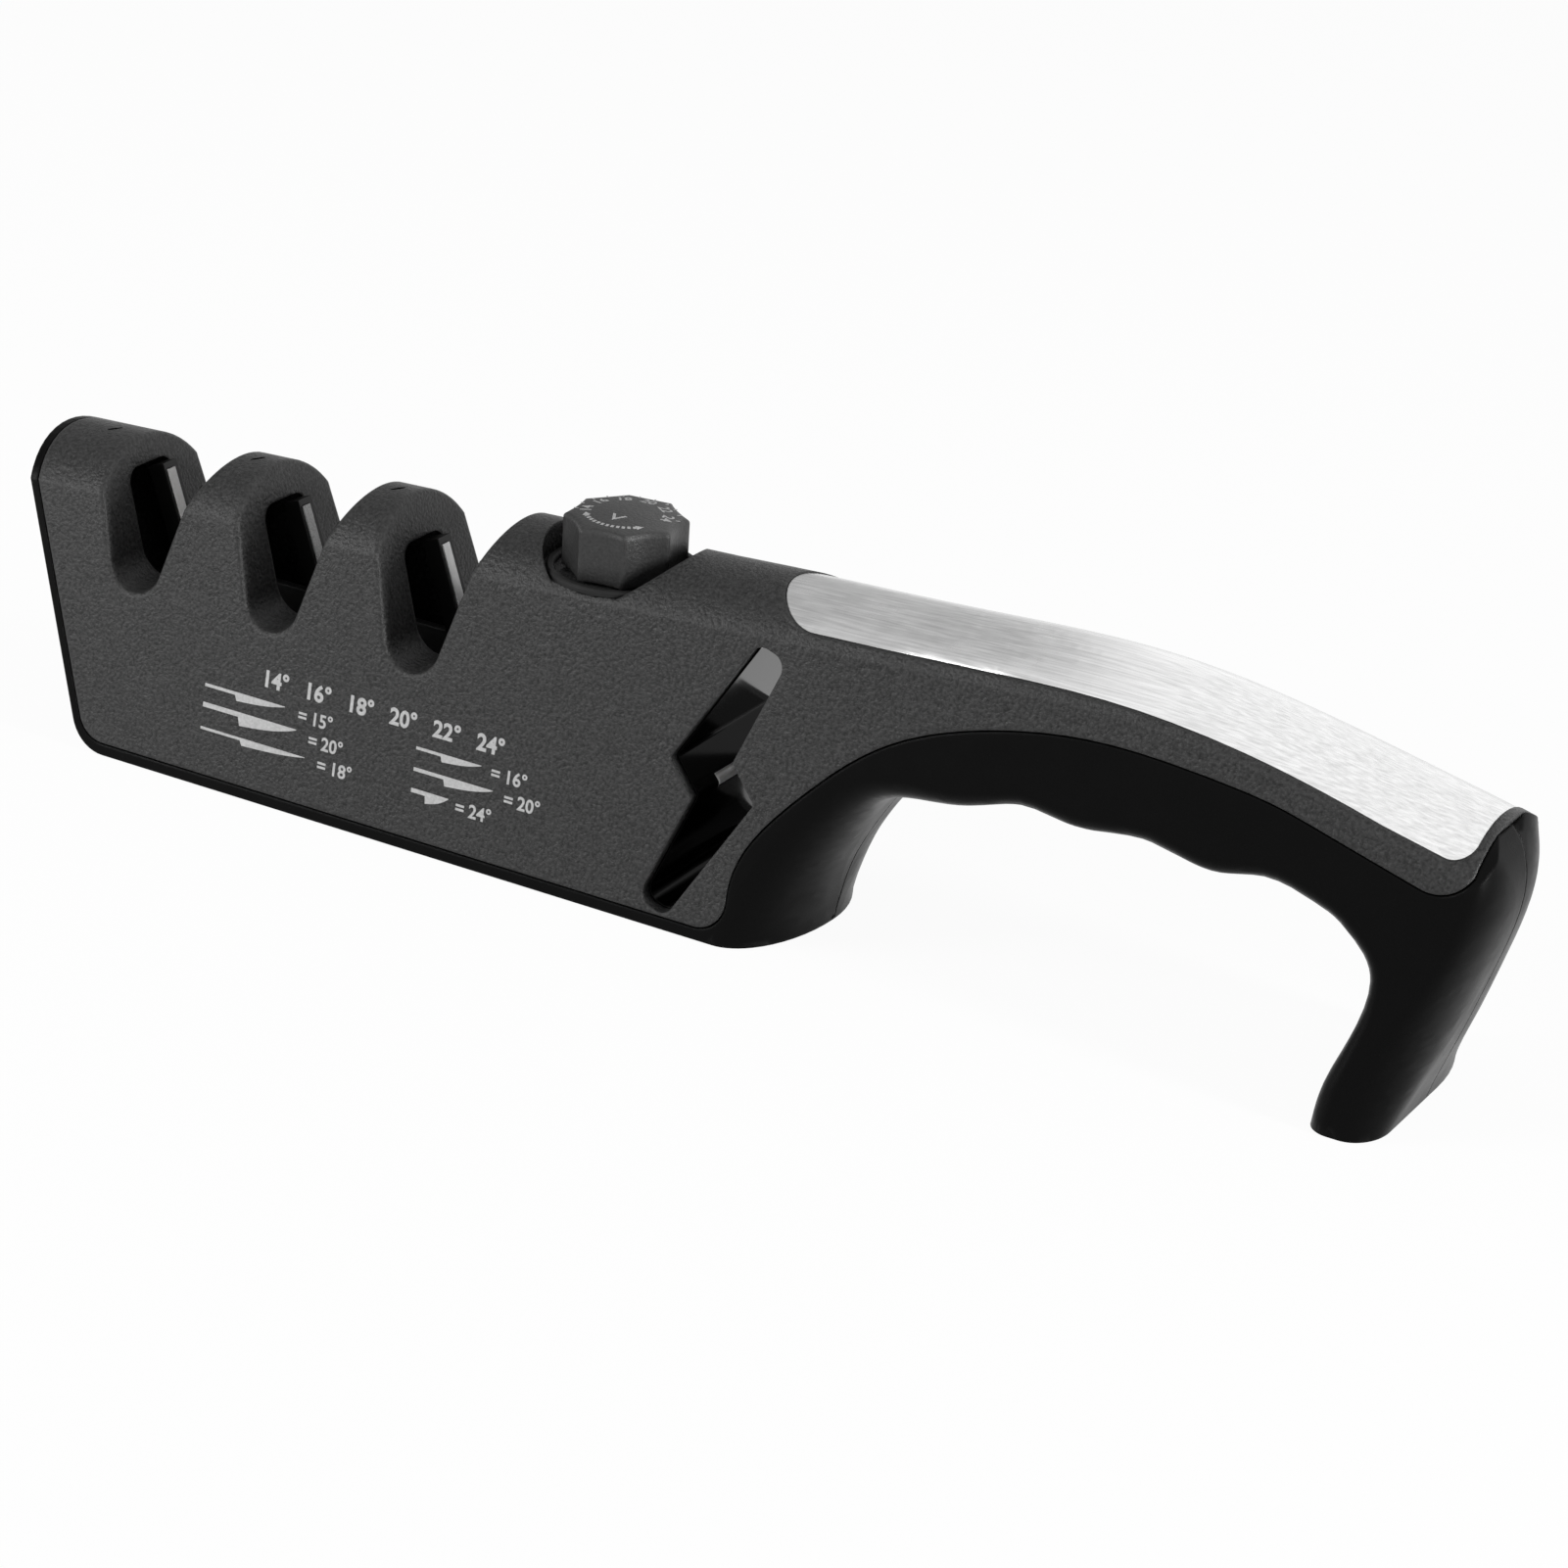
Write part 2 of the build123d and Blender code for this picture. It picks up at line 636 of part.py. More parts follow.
# Scissors slot: its lining and the two hard rods in the bends
lining_solid = across(scissors_face(lining_wall)) & side_blank(wall + seat_gap) & across(cover_face(-seam_gap))
lining_solid = lining_solid & arch_blank(top_wall + seat_gap)
lining_solid = lining_solid - across(scissors_face(-lining_step))
rod_x = scissors_notch[0] + rod_set
rod_z = scissors_notch[1] - rod_drop
rod_places = [(scissors_x + rod_x, scissors_z + rod_z), (scissors_x - rod_x, scissors_z - rod_z)]
with BuildPart() as scissors_lining:
    add(lining_solid)
    for x, z in rod_places:
        reach = rod_half_length + seat_gap
        add(pin_along_y(x, z, -reach, reach, rod_radius + seat_gap), mode=Mode.SUBTRACT)
scissors_lining.part.label = "scissors_lining"
export_step(scissors_lining.part, "parts/scissors_lining.step")

with BuildPart() as scissors_rod_upper:
    add(pin_along_y(*rod_places[0], -rod_half_length, rod_half_length, rod_radius))
scissors_rod_upper.part.label = "scissors_rod_upper"
export_step(scissors_rod_upper.part, "parts/scissors_rod_upper.step")

with BuildPart() as scissors_rod_lower:
    add(pin_along_y(*rod_places[1], -rod_half_length, rod_half_length, rod_radius))
scissors_rod_lower.part.label = "scissors_rod_lower"
export_step(scissors_rod_lower.part, "parts/scissors_rod_lower.step")

# Chassis: a floor on the tray, two walls for the pivot pins, ledges under the slide bars and the shaft's boss
wall_end_x = slot_xs[-1] + chassis_reach
chassis_end_x = knob_x + cam_radius + foot_thickness + seat_gap
with BuildPart() as chassis:
    add(block(lower_x, chassis_end_x, -chassis_wall_y, chassis_wall_y, chassis_z, chassis_top))
    for side in (-1, 1):
        low, high = sorted((side * chassis_wall_y, side * (chassis_wall_y + chassis_wall)))
        add(block(lower_x, wall_end_x, low, high, chassis_z, chassis_top_z))
        low, high = sorted((side * bar_inner_y, side * chassis_wall_y))
        ledge_high = bar_low_z - running_gap
        add(block(lower_x, wall_end_x, low, high, ledge_high - ledge_thickness, ledge_high))
    for x, y in screw_places:
        add(block(x - post_radius, x + post_radius, min(0, y), max(0, y), chassis_z, chassis_top))
        add(post(x, y, chassis_z, chassis_top, post_radius))
    for x, y in screw_places:
        add(post(x, y, 0, chassis_top + overrun, screw_radius + seat_gap), mode=Mode.SUBTRACT)
    add(block(detent_start_x, detent_end_x, -detent_half_width, detent_half_width, chassis_z, bridge_low_z - seat_gap))
    add(block(knob_x + cam_radius + seat_gap, chassis_end_x, -detent_half_width, detent_half_width, chassis_z,
              bridge_low_z - seat_gap))
    bore = Pos((detent_start_x + bore_floor + detent_end_x + overrun) / 2, 0, cam_middle_z) * Rot(0, 90, 0)
    bore_length = detent_end_x + overrun - detent_start_x - bore_floor
    bore = bore * Cylinder(ball_radius + running_gap, bore_length, mode=Mode.PRIVATE)
    add(bore, mode=Mode.SUBTRACT)
    add(post(knob_x, 0, chassis_z, boss_top_z, boss_radius))
    add(post(knob_x, 0, chassis_top, boss_top_z + overrun, shaft_foot_radius + running_gap), mode=Mode.SUBTRACT)
    for x in slot_xs:
        add(pin_along_y(x, pivot_z, -base_width, base_width, pivot_radius + seat_gap), mode=Mode.SUBTRACT)
chassis.part.label = "chassis"
export_step(chassis.part, "parts/chassis.step")

# Bridge over the cam that steadies the shaft
with BuildPart() as cam_bridge:
    add(block(detent_start_x, chassis_end_x, -bridge_half_width, bridge_half_width, bridge_low_z, bridge_high_z))
    add(post(knob_x, 0, bridge_low_z, bridge_high_z, bridge_half_width + wall))
    add(post(knob_x, 0, 0, body_height, shaft_radius + running_gap), mode=Mode.SUBTRACT)
cam_bridge.part.label = "cam_bridge"
export_step(cam_bridge.part, "parts/cam_bridge.step")

# Knob, its shaft, screw and bezel
with BuildPart() as angle_knob:
    corners = [
        (knob_radius * cos(radians(knob_corner_phase + i * 360 / knob_sides)),
         knob_radius * sin(radians(knob_corner_phase + i * 360 / knob_sides)))
        for i in range(knob_sides)
    ]
    flat_radius = knob_radius * cos(pi / knob_sides) - knob_flute_depth
    middles = [
        (flat_radius * cos(radians(knob_corner_phase + (i + 0.5) * 360 / knob_sides)),
         flat_radius * sin(radians(knob_corner_phase + (i + 0.5) * 360 / knob_sides)))
        for i in range(knob_sides)
    ]
    with BuildSketch(Plane.XY.offset(knob_low_z)):
        with BuildLine(Location((knob_x, 0))):
            for i in range(knob_sides):
                ThreePointArc(corners[i], middles[i], corners[(i + 1) % knob_sides])
        make_face()
    extrude(amount=knob_height)
    dome = (knob_radius**2 + knob_crown**2) / (2 * knob_crown)
    add(Pos(knob_x, 0, knob_top_z - dome) * Sphere(dome, mode=Mode.PRIVATE), mode=Mode.INTERSECT)
    add(post(knob_x, 0, 0, shaft_top_z + seat_gap, shaft_radius + seat_gap), mode=Mode.SUBTRACT)
    rim_edges = angle_knob.edges().filter_by_position(Axis.Z, shaft_top_z + knob_radius / 4, knob_top_z)
    fillet(rim_edges, knob_edge)
angle_knob.part.label = "angle_knob"
export_step(angle_knob.part, "parts/angle_knob.step")

with BuildPart() as knob_shaft:
    add(post(knob_x, 0, cam_low_z, shaft_top_z, shaft_radius))
    add(post(knob_x, 0, shaft_foot_z, cam_low_z, shaft_foot_radius))
    add(post(knob_x, 0, 0, shaft_foot_z + knob_screw_length, screw_radius + seat_gap), mode=Mode.SUBTRACT)
knob_shaft.part.label = "knob_shaft"
export_step(knob_shaft.part, "parts/knob_shaft.step")

with BuildPart() as knob_screw:
    add(post(knob_x, 0, shaft_foot_z - seat_gap - screw_head_height, shaft_foot_z - seat_gap, shaft_foot_radius - seat_gap))
    add(post(knob_x, 0, shaft_foot_z - seat_gap, shaft_foot_z + knob_screw_length - seat_gap, screw_radius))
knob_screw.part.label = "knob_screw"
export_step(knob_screw.part, "parts/knob_screw.step")

with BuildPart() as knob_bezel:
    with BuildSketch(Plane.XY.offset(recess_floor_z + seat_gap)):
        with Locations((knob_x, 0)):
            Circle(bezel_outer)
            Circle(bezel_inner, mode=Mode.SUBTRACT)
    extrude(amount=bezel_height)
    chamfer(knob_bezel.edges().group_by(Axis.Z)[-1], bezel_height / 3)
knob_bezel.part.label = "knob_bezel"
export_step(knob_bezel.part, "parts/knob_bezel.step")


def groove_face(reach, turn):
    """Plan of one scroll groove: an even spiral that starts at a reach, turned to its peg's side."""
    first = angle_first - groove_margin
    last = angle_last + groove_margin
    angles = [first + (last - first) * i / groove_points for i in range(groove_points + 1)]
    half = cam_peg_radius + peg_gap

    def spiral(degree, shift):
        r = reach + lead * radians(degree) + shift
        return knob_x + r * cos(radians(degree + turn)), r * sin(radians(degree + turn))

    def tip(degree, step):
        r = reach + lead * radians(degree)
        x, y = spiral(degree, 0)
        side = radians(degree + turn + 90)
        return x + step * half * cos(side), y + step * half * sin(side)

    with BuildSketch(Plane.XY) as groove:
        with BuildLine():
            Spline(*[spiral(a, -half) for a in angles])
            ThreePointArc(spiral(last, -half), tip(last, 1), spiral(last, half))
            Spline(*[spiral(a, half) for a in reversed(angles)])
            ThreePointArc(spiral(first, half), tip(first, -1), spiral(first, -half))
        make_face()
    return groove.sketch


# Scroll cam under the knob: two spiral grooves move the slide bars apart, the notched rim gives the clicks
grooves = [groove_face(front_cam_reach, 0), groove_face(rear_cam_reach, 180)]
grooves = [raised(face, cam_low_z - overrun, cam_high_z + overrun) for face in grooves]
with BuildPart() as scroll_cam:
    add(post(knob_x, 0, cam_low_z, cam_high_z, cam_radius))
    add(post(knob_x, 0, 0, body_height, shaft_radius + seat_gap), mode=Mode.SUBTRACT)
    for groove in grooves:
        add(groove, mode=Mode.SUBTRACT)
    clicks = round((angle_last - angle_first) / knob_per_degree)
    for i in range(clicks + 1):
        turn = radians(180 + angle_first + i * knob_per_degree)
        reach = cam_radius + ball_radius - click_depth
        add(
            post(knob_x + reach * cos(turn), reach * sin(turn), cam_low_z - overrun, cam_high_z + overrun, ball_radius),
            mode=Mode.SUBTRACT,
        )
scroll_cam.part.label = "scroll_cam"
export_step(scroll_cam.part, "parts/scroll_cam.step")

with BuildPart() as detent_ball:
    add(Pos(ball_x, 0, cam_middle_z) * Sphere(ball_radius, mode=Mode.PRIVATE))
detent_ball.part.label = "detent_ball"
export_step(detent_ball.part, "parts/detent_ball.step")

spring_start_x = detent_start_x + bore_floor + spring_wire
spring_run = ball_x - ball_radius + spring_nest - spring_start_x
with BuildPart() as detent_spring:
    with BuildLine() as coil:
        Helix(
            pitch=spring_run / spring_turns, height=spring_run, radius=spring_radius,
            center=(spring_start_x, 0, cam_middle_z), direction=(1, 0, 0),
        )
    with BuildSketch(Plane(origin=coil.line @ 0, z_dir=coil.line % 0)):
        Circle(spring_wire)
    sweep(path=coil.line, is_frenet=True)
detent_spring.part.label = "detent_spring"
export_step(detent_spring.part, "parts/detent_spring.step")


def slide_bar(side, peg_x):
    """A slide bar on one side: slots for the holders' pegs and an arm with the cam's peg."""
    low, high = sorted((side * bar_inner_y, side * (bar_inner_y + bar_thickness)))
    arm_low, arm_high = sorted((-side * cross_half_width, side * (bar_inner_y + bar_thickness)))
    with BuildPart() as bar:
        add(block(bar_start_x, peg_x + cross_half_width, low, high, bar_low_z, bar_high_z))
        add(block(peg_x - cross_half_width, peg_x + cross_half_width, arm_low, arm_high,
                  bar_high_z - cross_piece_height, bar_high_z))
        add(post(peg_x, 0, bar_high_z, cam_high_z - seam_gap, cam_peg_radius))
        for x in slot_xs:
            half = peg_radius + peg_gap
            add(block(x - half, x + half, low, high, bar_middle_z - peg_slot_half, bar_middle_z + peg_slot_half),
                mode=Mode.SUBTRACT)
    return bar.part


front_bar_solid = slide_bar(-1, front_peg_x)
rear_bar_solid = slide_bar(1, rear_peg_x)
with BuildPart() as front_slide_bar:
    add(front_bar_solid)
front_slide_bar.part.label = "front_slide_bar"
export_step(front_slide_bar.part, "parts/front_slide_bar.step")

with BuildPart() as rear_slide_bar:
    add(rear_bar_solid)
rear_slide_bar.part.label = "rear_slide_bar"
export_step(rear_slide_bar.part, "parts/rear_slide_bar.step")


def leaning_block(x, side, u_low, u_high, v_low, v_high, y_low, y_high):
    """A box along a leaning blade: u out of its working face, v along it, measured from the pivot."""
    low, high = sorted((side * y_low, side * y_high))
    box = Pos((u_low + u_high) / 2, (low + high) / 2, (v_low + v_high) / 2)
    box = box * Box(u_high - u_low, high - low, v_high - v_low, mode=Mode.PRIVATE)
    mirrored = box if side > 0 else box.mirror(Plane.YZ)
    return Pos(x, 0, pivot_z) * Rot(0, -side * blade_angle, 0) * mirrored


def blade_holder(x, side):
    """A rocking holder: hub on the pin, leaning band for the insert and an arm with its peg."""
    face_u = (cross_z - pivot_z) * sin(radians(blade_angle))
    band_end = insert_start + insert_length + insert_gap + holder_lip
    low, high = sorted((side * holder_inner_y, side * holder_outer_y))
    peg_low, peg_high = sorted((side * holder_outer_y, side * (bar_inner_y + bar_thickness)))
    with BuildPart() as holder:
        add(pin_along_y(x, pivot_z, low, high, hub_radius))
        add(leaning_block(x, side, face_u - holder_back, face_u - holder_face, 0, band_end,
                          holder_inner_y, holder_outer_y))
        add(block(x - arm_width / 2, x + arm_width / 2, low, high, bar_middle_z - arm_width / 2, pivot_z))
        add(pin_along_y(x, bar_middle_z, peg_low, peg_high, peg_radius))
        add(
            leaning_block(x, side, face_u - insert_depth - insert_gap, face_u + overrun,
                          insert_start - insert_gap, insert_start + insert_length + insert_gap,
                          holder_inner_y + cheek, holder_inner_y + cheek + insert_width + 2 * insert_gap),
            mode=Mode.SUBTRACT,
        )
        add(pin_along_y(x, pivot_z, low - overrun, high + overrun, pivot_radius + running_gap), mode=Mode.SUBTRACT)
    return holder.part


def blade_insert(x, side):
    """The abrasive insert that lies in a holder's groove, flush with the working face."""
    face_u = (cross_z - pivot_z) * sin(radians(blade_angle))
    y_low = holder_inner_y + cheek + insert_gap
    return leaning_block(x, side, face_u - insert_depth, face_u, insert_start, insert_start + insert_length,
                         y_low, y_low + insert_width)


# Two rocking holders cross in every slot; each carries an insert and they share one pivot pin
insert_names = ["ceramic", "diamond", "carbide"]
for number, x in enumerate(slot_xs, 1):
    for side, word in ((-1, "front"), (1, "rear")):
        holder_solid = blade_holder(x, side)
        with BuildPart() as holder:
            add(holder_solid)
        holder.part.label = f"{word}_holder_{number}"
        export_step(holder.part, f"parts/{word}_holder_{number}.step")
        with BuildPart() as insert:
            add(blade_insert(x, side))
        insert.part.label = f"{insert_names[number - 1]}_insert_{word}"
        export_step(insert.part, f"parts/{insert_names[number - 1]}_insert_{word}.step")
    with BuildPart() as pin:
        reach = chassis_wall_y + chassis_wall
        add(pin_along_y(x, pivot_z, -reach, reach, pivot_radius))
    pin.part.label = f"pivot_pin_{number}"
    export_step(pin.part, f"parts/pivot_pin_{number}.step")
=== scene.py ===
# %% [markdown]
# A pull through knife sharpener: a grained dark grey cover on a black frame, three knife slots, a knob for
# the angle, a slot for scissors and a bridge handle with a brushed steel strip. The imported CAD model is
# loaded first and stays fixed.

import json
import math

import bmesh
import bpy
from mathutils import Matrix, Vector
from mathutils.bvhtree import BVHTree


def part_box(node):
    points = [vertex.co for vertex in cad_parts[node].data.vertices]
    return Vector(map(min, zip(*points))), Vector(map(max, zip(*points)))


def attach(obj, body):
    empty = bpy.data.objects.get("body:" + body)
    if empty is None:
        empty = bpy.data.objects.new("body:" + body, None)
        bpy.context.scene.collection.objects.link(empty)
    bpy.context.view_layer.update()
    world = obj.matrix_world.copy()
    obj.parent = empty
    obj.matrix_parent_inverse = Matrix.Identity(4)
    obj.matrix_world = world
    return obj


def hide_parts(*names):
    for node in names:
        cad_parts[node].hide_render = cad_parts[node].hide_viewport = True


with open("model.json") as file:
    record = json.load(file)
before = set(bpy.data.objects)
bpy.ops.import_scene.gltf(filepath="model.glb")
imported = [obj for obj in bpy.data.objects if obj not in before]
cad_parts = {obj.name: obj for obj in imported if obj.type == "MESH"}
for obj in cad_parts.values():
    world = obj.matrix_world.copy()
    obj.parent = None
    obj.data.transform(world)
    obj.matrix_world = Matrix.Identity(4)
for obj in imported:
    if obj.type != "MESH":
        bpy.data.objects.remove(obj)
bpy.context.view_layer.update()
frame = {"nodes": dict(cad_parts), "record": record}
nodes = frame["nodes"]
scene = bpy.context.scene
slots = {entry["node"]: entry["material_slot"] for entry in frame["record"]["subparts"]}
# Small sizes are written in millimetres below and scaled by this where they are used.
MM = 0.001

# %% [markdown]
# A camera could be placed by eye, but then every outline would be judged in a wrong view. This one was solved
# from the photograph's perspective, which gives its place, bearing, height, roll and focal length. It is
# turned by three axes and not by angles, so that the roll stays apart from the aim. It comes first, because
# every later look is judged through it.

# %% Camera
BEARING, HEIGHT, ROLL = math.radians(29.108), math.radians(23.639), math.radians(3.641)
CAMERA_PLACE = Vector((0.4202, -0.6405, 0.3436))
# The focal length and the width are in the photograph's own pixels, and the sensor is in millimetres.
PHOTO_FOCAL, PHOTO_WIDTH = 4654.637, 1601.0
SENSOR = 36.0
FAR_LIMIT = 20.0


def placed(name, data):
    """An object for its data, linked into the scene."""
    made = bpy.data.objects.new(name, data)
    scene.collection.objects.link(made)
    return made


level = math.cos(HEIGHT)
back = Vector((math.sin(BEARING) * level, -math.cos(BEARING) * level, math.sin(HEIGHT)))
right = Vector((math.cos(BEARING), math.sin(BEARING), 0.0))
up = back.cross(right)
rolled_right = math.cos(ROLL) * right + math.sin(ROLL) * up
rolled_up = -math.sin(ROLL) * right + math.cos(ROLL) * up
lens_data = bpy.data.cameras.new("camera")
lens_data.sensor_width = SENSOR
lens_data.lens = SENSOR * PHOTO_FOCAL / PHOTO_WIDTH
lens_data.clip_end = FAR_LIMIT
camera = placed("camera", lens_data)
turned = Matrix((rolled_right, rolled_up, back)).transposed().to_4x4()
camera.matrix_world = Matrix.Translation(CAMERA_PLACE) @ turned
scene.camera = camera
print("camera", [round(v, 3) for v in camera.location], "lens", round(lens_data.lens, 1))

# %% [markdown]
# A finish is a small tree of shader nodes. These helpers add a node with its values set, feed a socket from
# another node or with a constant, and make noise on Object coordinates. Those keep a pattern at its real
# size, and it can't slide, because every piece stands at the origin with its place in its mesh.

# %% Node helpers
NOISE_ROUGHNESS = 0.55
# Noise stays between these two nearly everywhere.
NOISE_LOW, NOISE_HIGH = 0.3, 0.7
# A Mix node repeats its socket names for each kind of data, so its colour sockets are found by number.
MIX_FACTOR, MIX_FIRST, MIX_SECOND, MIX_RESULT = 0, 6, 7, 2


def add_node(tree, kind, **values):
    """A node of a kind with its named inputs or properties set."""
    made = tree.nodes.new(kind)
    for name, value in values.items():
        if name in made.inputs:
            made.inputs[name].default_value = value
        else:
            setattr(made, name, value)
    return made


def feed(tree, value, socket):
    """A socket linked to another node's output, or set to a constant."""
    if isinstance(value, bpy.types.NodeSocket):
        tree.links.new(value, socket)
    else:
        socket.default_value = value


def grain(tree, cells, detail, stretch=(1.0, 1.0, 1.0)):
    """Noise on the object's own coordinates, with its cells counted per metre."""
    place = add_node(tree, "ShaderNodeTexCoord")
    squeeze = add_node(tree, "ShaderNodeMapping", Scale=stretch)
    noise = add_node(tree, "ShaderNodeTexNoise", Scale=cells, Detail=detail, Roughness=NOISE_ROUGHNESS)
    tree.links.new(place.outputs["Object"], squeeze.inputs["Vector"])
    tree.links.new(squeeze.outputs["Vector"], noise.inputs["Vector"])
    return noise.outputs["Fac"]


def span(tree, value, low, high, from_low=NOISE_LOW, from_high=NOISE_HIGH):
    """A value carried from one range, which is the noise's own unless told, to another."""
    ranged = add_node(tree, "ShaderNodeMapRange")
    ranged.inputs["From Min"].default_value = from_low
    ranged.inputs["From Max"].default_value = from_high
    ranged.inputs["To Min"].default_value = low
    ranged.inputs["To Max"].default_value = high
    tree.links.new(value, ranged.inputs["Value"])
    return ranged.outputs["Result"]


def mixed(tree, factor, first, second):
    """Two colours, each a constant or another node's output, mixed by a factor."""
    mix = add_node(tree, "ShaderNodeMix", data_type="RGBA")
    feed(tree, factor, mix.inputs[MIX_FACTOR])
    feed(tree, first, mix.inputs[MIX_FIRST])
    feed(tree, second, mix.inputs[MIX_SECOND])
    return mix.outputs[MIX_RESULT]


def grey(value, warmth):
    """A grey with a little warmth."""
    return (value * (1 + warmth), value, value * (1 - warmth), 1.0)


print("node helpers", [helper.__name__ for helper in (add_node, feed, grain, span, mixed, grey)])

# %% [markdown]
# Moulded plastic is never one flat colour: its grain catches the light, its tone drifts a little, and handled
# edges are rounder and paler. One function holds all of that. A fine noise varies the tone and gives the
# relief, a broad noise varies the roughness, and a Bevel node rounds the edges in the shading without
# touching the mesh. Where the rounded normal turns away from the face's own, the tone is the worn one.

# %% The finish function
FINE_DETAIL, BROAD_DETAIL = 3.0, 2.0
# The broad noise has cells this many times as large as the fine one's.
BROAD_RATIO = 18.0
BEVEL_SAMPLES = 4
# Cosines of the normal's turn: a point is fully worn at the first and still plain at the second.
WORN_COSINE, PLAIN_COSINE = 0.80, 0.995
SMOOTHEST_SHARE, ROUGHEST_SHARE = 0.9, 1.12
finishes = {}


def finish(name, tone, rough, cells=900.0, bump=0.05, edge=0.4, worn=1.25, gloss=0.5, metal=0.0,
           stretch=(1.0, 1.0, 1.0), spread=0.12, warmth=0.0, depth=0.1):
    """A finish by its name. Cells are counted per metre, edge and depth are in millimetres, and worn and
    spread are the edges' tone and the grain's contrast as shares of the tone."""
    made = bpy.data.materials.new(name)
    made.use_nodes = True
    tree = made.node_tree
    shader = tree.nodes["Principled BSDF"]
    fine = grain(tree, cells, FINE_DETAIL, stretch)
    broad = grain(tree, cells / BROAD_RATIO, BROAD_DETAIL)
    rounding = add_node(tree, "ShaderNodeBevel", samples=BEVEL_SAMPLES, Radius=edge * MM)
    shape = add_node(tree, "ShaderNodeNewGeometry")
    turn = add_node(tree, "ShaderNodeVectorMath", operation="DOT_PRODUCT")
    tree.links.new(rounding.outputs["Normal"], turn.inputs[0])
    tree.links.new(shape.outputs["Normal"], turn.inputs[1])
    wear = span(tree, turn.outputs["Value"], 1.0, 0.0, WORN_COSINE, PLAIN_COSINE)
    darker, lighter = grey(tone * (1 - spread), warmth), grey(tone * (1 + spread), warmth)
    grained = mixed(tree, span(tree, fine, 0.0, 1.0), darker, lighter)
    handled = mixed(tree, wear, grained, grey(min(1.0, tone * worn), warmth))
    roughness = span(tree, broad, rough * SMOOTHEST_SHARE, min(1.0, rough * ROUGHEST_SHARE))
    relief = add_node(tree, "ShaderNodeBump", Strength=bump, Distance=depth * MM)
    tree.links.new(fine, relief.inputs["Height"])
    tree.links.new(rounding.outputs["Normal"], relief.inputs["Normal"])
    tree.links.new(handled, shader.inputs["Base Color"])
    tree.links.new(roughness, shader.inputs["Roughness"])
    tree.links.new(relief.outputs["Normal"], shader.inputs["Normal"])
    shader.inputs["Metallic"].default_value = metal
    shader.inputs["Specular IOR Level"].default_value = gloss
    finishes[name] = made


print("finish function", "noise detail", FINE_DETAIL, BROAD_DETAIL, "bevel samples", BEVEL_SAMPLES)

# %% [markdown]
# The plastics. The cover has the coarse spark-eroded grain of its mould, the frame is a deep matte black,
# and the knob is a little finer than the cover. The lining of the scissors slot is glossy black. The two
# places where it shines take a glossier, slightly lighter copy of its finish: painted sheen on the one
# plastic. The cam is pale, as plastics that slide on each other often are.

# %% Plastics
finish("cover_plastic", tone=0.021, rough=0.40, cells=1600.0, bump=1.0, edge=0.9, worn=1.9, gloss=0.24,
       spread=0.80, depth=0.25)
finish("frame_plastic", tone=0.0012, rough=0.30, cells=3000.0, bump=0.16, edge=0.6, worn=2.2, gloss=0.06,
       spread=0.2)
finish("knob_plastic", tone=0.026, rough=0.38, cells=1800.0, bump=0.8, edge=1.1, worn=1.8, gloss=0.28,
       spread=0.25)
finish("lining_plastic", tone=0.0008, rough=0.10, cells=260.0, bump=0.03, edge=0.2, worn=2.0, gloss=0.06)
# A glossier, slightly lighter copy of the lining's finish: painted sheen where the lining shines.
finish("lining_painted_sheen", tone=0.0010, rough=0.08, cells=260.0, bump=0.02, edge=0.2, worn=2.0, gloss=0.60)
finish("holder_plastic", tone=0.004, rough=0.32, cells=1200.0, bump=0.06, edge=0.3, worn=2.0, gloss=0.2)
finish("chassis_plastic", tone=0.012, rough=0.5, bump=0.1, gloss=0.3)
finish("cam_plastic", tone=0.62, rough=0.40, cells=500.0, worn=1.1, spread=0.04, warmth=0.03)
finish("pad_rubber", tone=0.012, rough=0.8, cells=1400.0, bump=0.3, gloss=0.3)
print("plastics", sorted(finishes))

# %% [markdown]
# The rest: metals, the sharpening inserts, the ink of the print and the painted shade of nicks and
# screw recesses.
# The strip's noise is stretched along X, which is the way it is brushed, and it stays a metal with a low
# relief. The ring round the knob is dull here, because the photograph shows it nearly black.

# %% Metals, inserts and ink
BRUSHED = (0.015, 1.0, 1.0)
finish("strip_steel", tone=0.68, rough=0.25, cells=2600.0, bump=0.20, edge=0.25, worn=1.5, metal=1.0,
       stretch=BRUSHED, spread=0.16)
finish("steel", tone=0.55, rough=0.28, bump=0.08, edge=0.2, metal=1.0)
finish("screw_black", tone=0.07, rough=0.38, cells=1400.0, bump=0.10, edge=0.15, worn=1.8, metal=0.85)
finish("bright_ring", tone=0.012, rough=0.50, cells=700.0, edge=0.3, gloss=0.15)
finish("ceramic", tone=0.97, rough=0.35, cells=1800.0, bump=0.06, edge=0.2, worn=1.05, spread=0.04,
       warmth=0.01)
finish("diamond_grit", tone=0.34, rough=0.40, cells=4200.0, bump=1.0, edge=0.15, metal=0.4, spread=0.45)
finish("carbide", tone=0.50, rough=0.30, bump=0.10, edge=0.15, metal=0.6, spread=0.08)
finish("print_ink", tone=0.42, rough=0.6, cells=1900.0, bump=0.1, edge=0.01, worn=1.0, spread=0.16)
# Painted shade: a near-black finish laid where nicks and screw recesses are shaded.
finish("recess_painted_shade", tone=0.001, rough=0.6, cells=1500.0, bump=0.1, edge=0.05, gloss=0.0)
print("finishes", len(finishes))

# %% [markdown]
# Each CAD node takes the finish of its own slot. Only its material changes, never its mesh or its place. The
# screws are blackened, as such screws are in a black frame.

# %% Finishes on the nodes
SCREW_NODES = ("frame_screws", "base_screws")
for name, node in nodes.items():
    node.data.materials.clear()
    node.data.materials.append(finishes["screw_black" if name in SCREW_NODES else slots[name]])
print("nodes with a finish", len([node for node in nodes.values() if node.data.materials]))

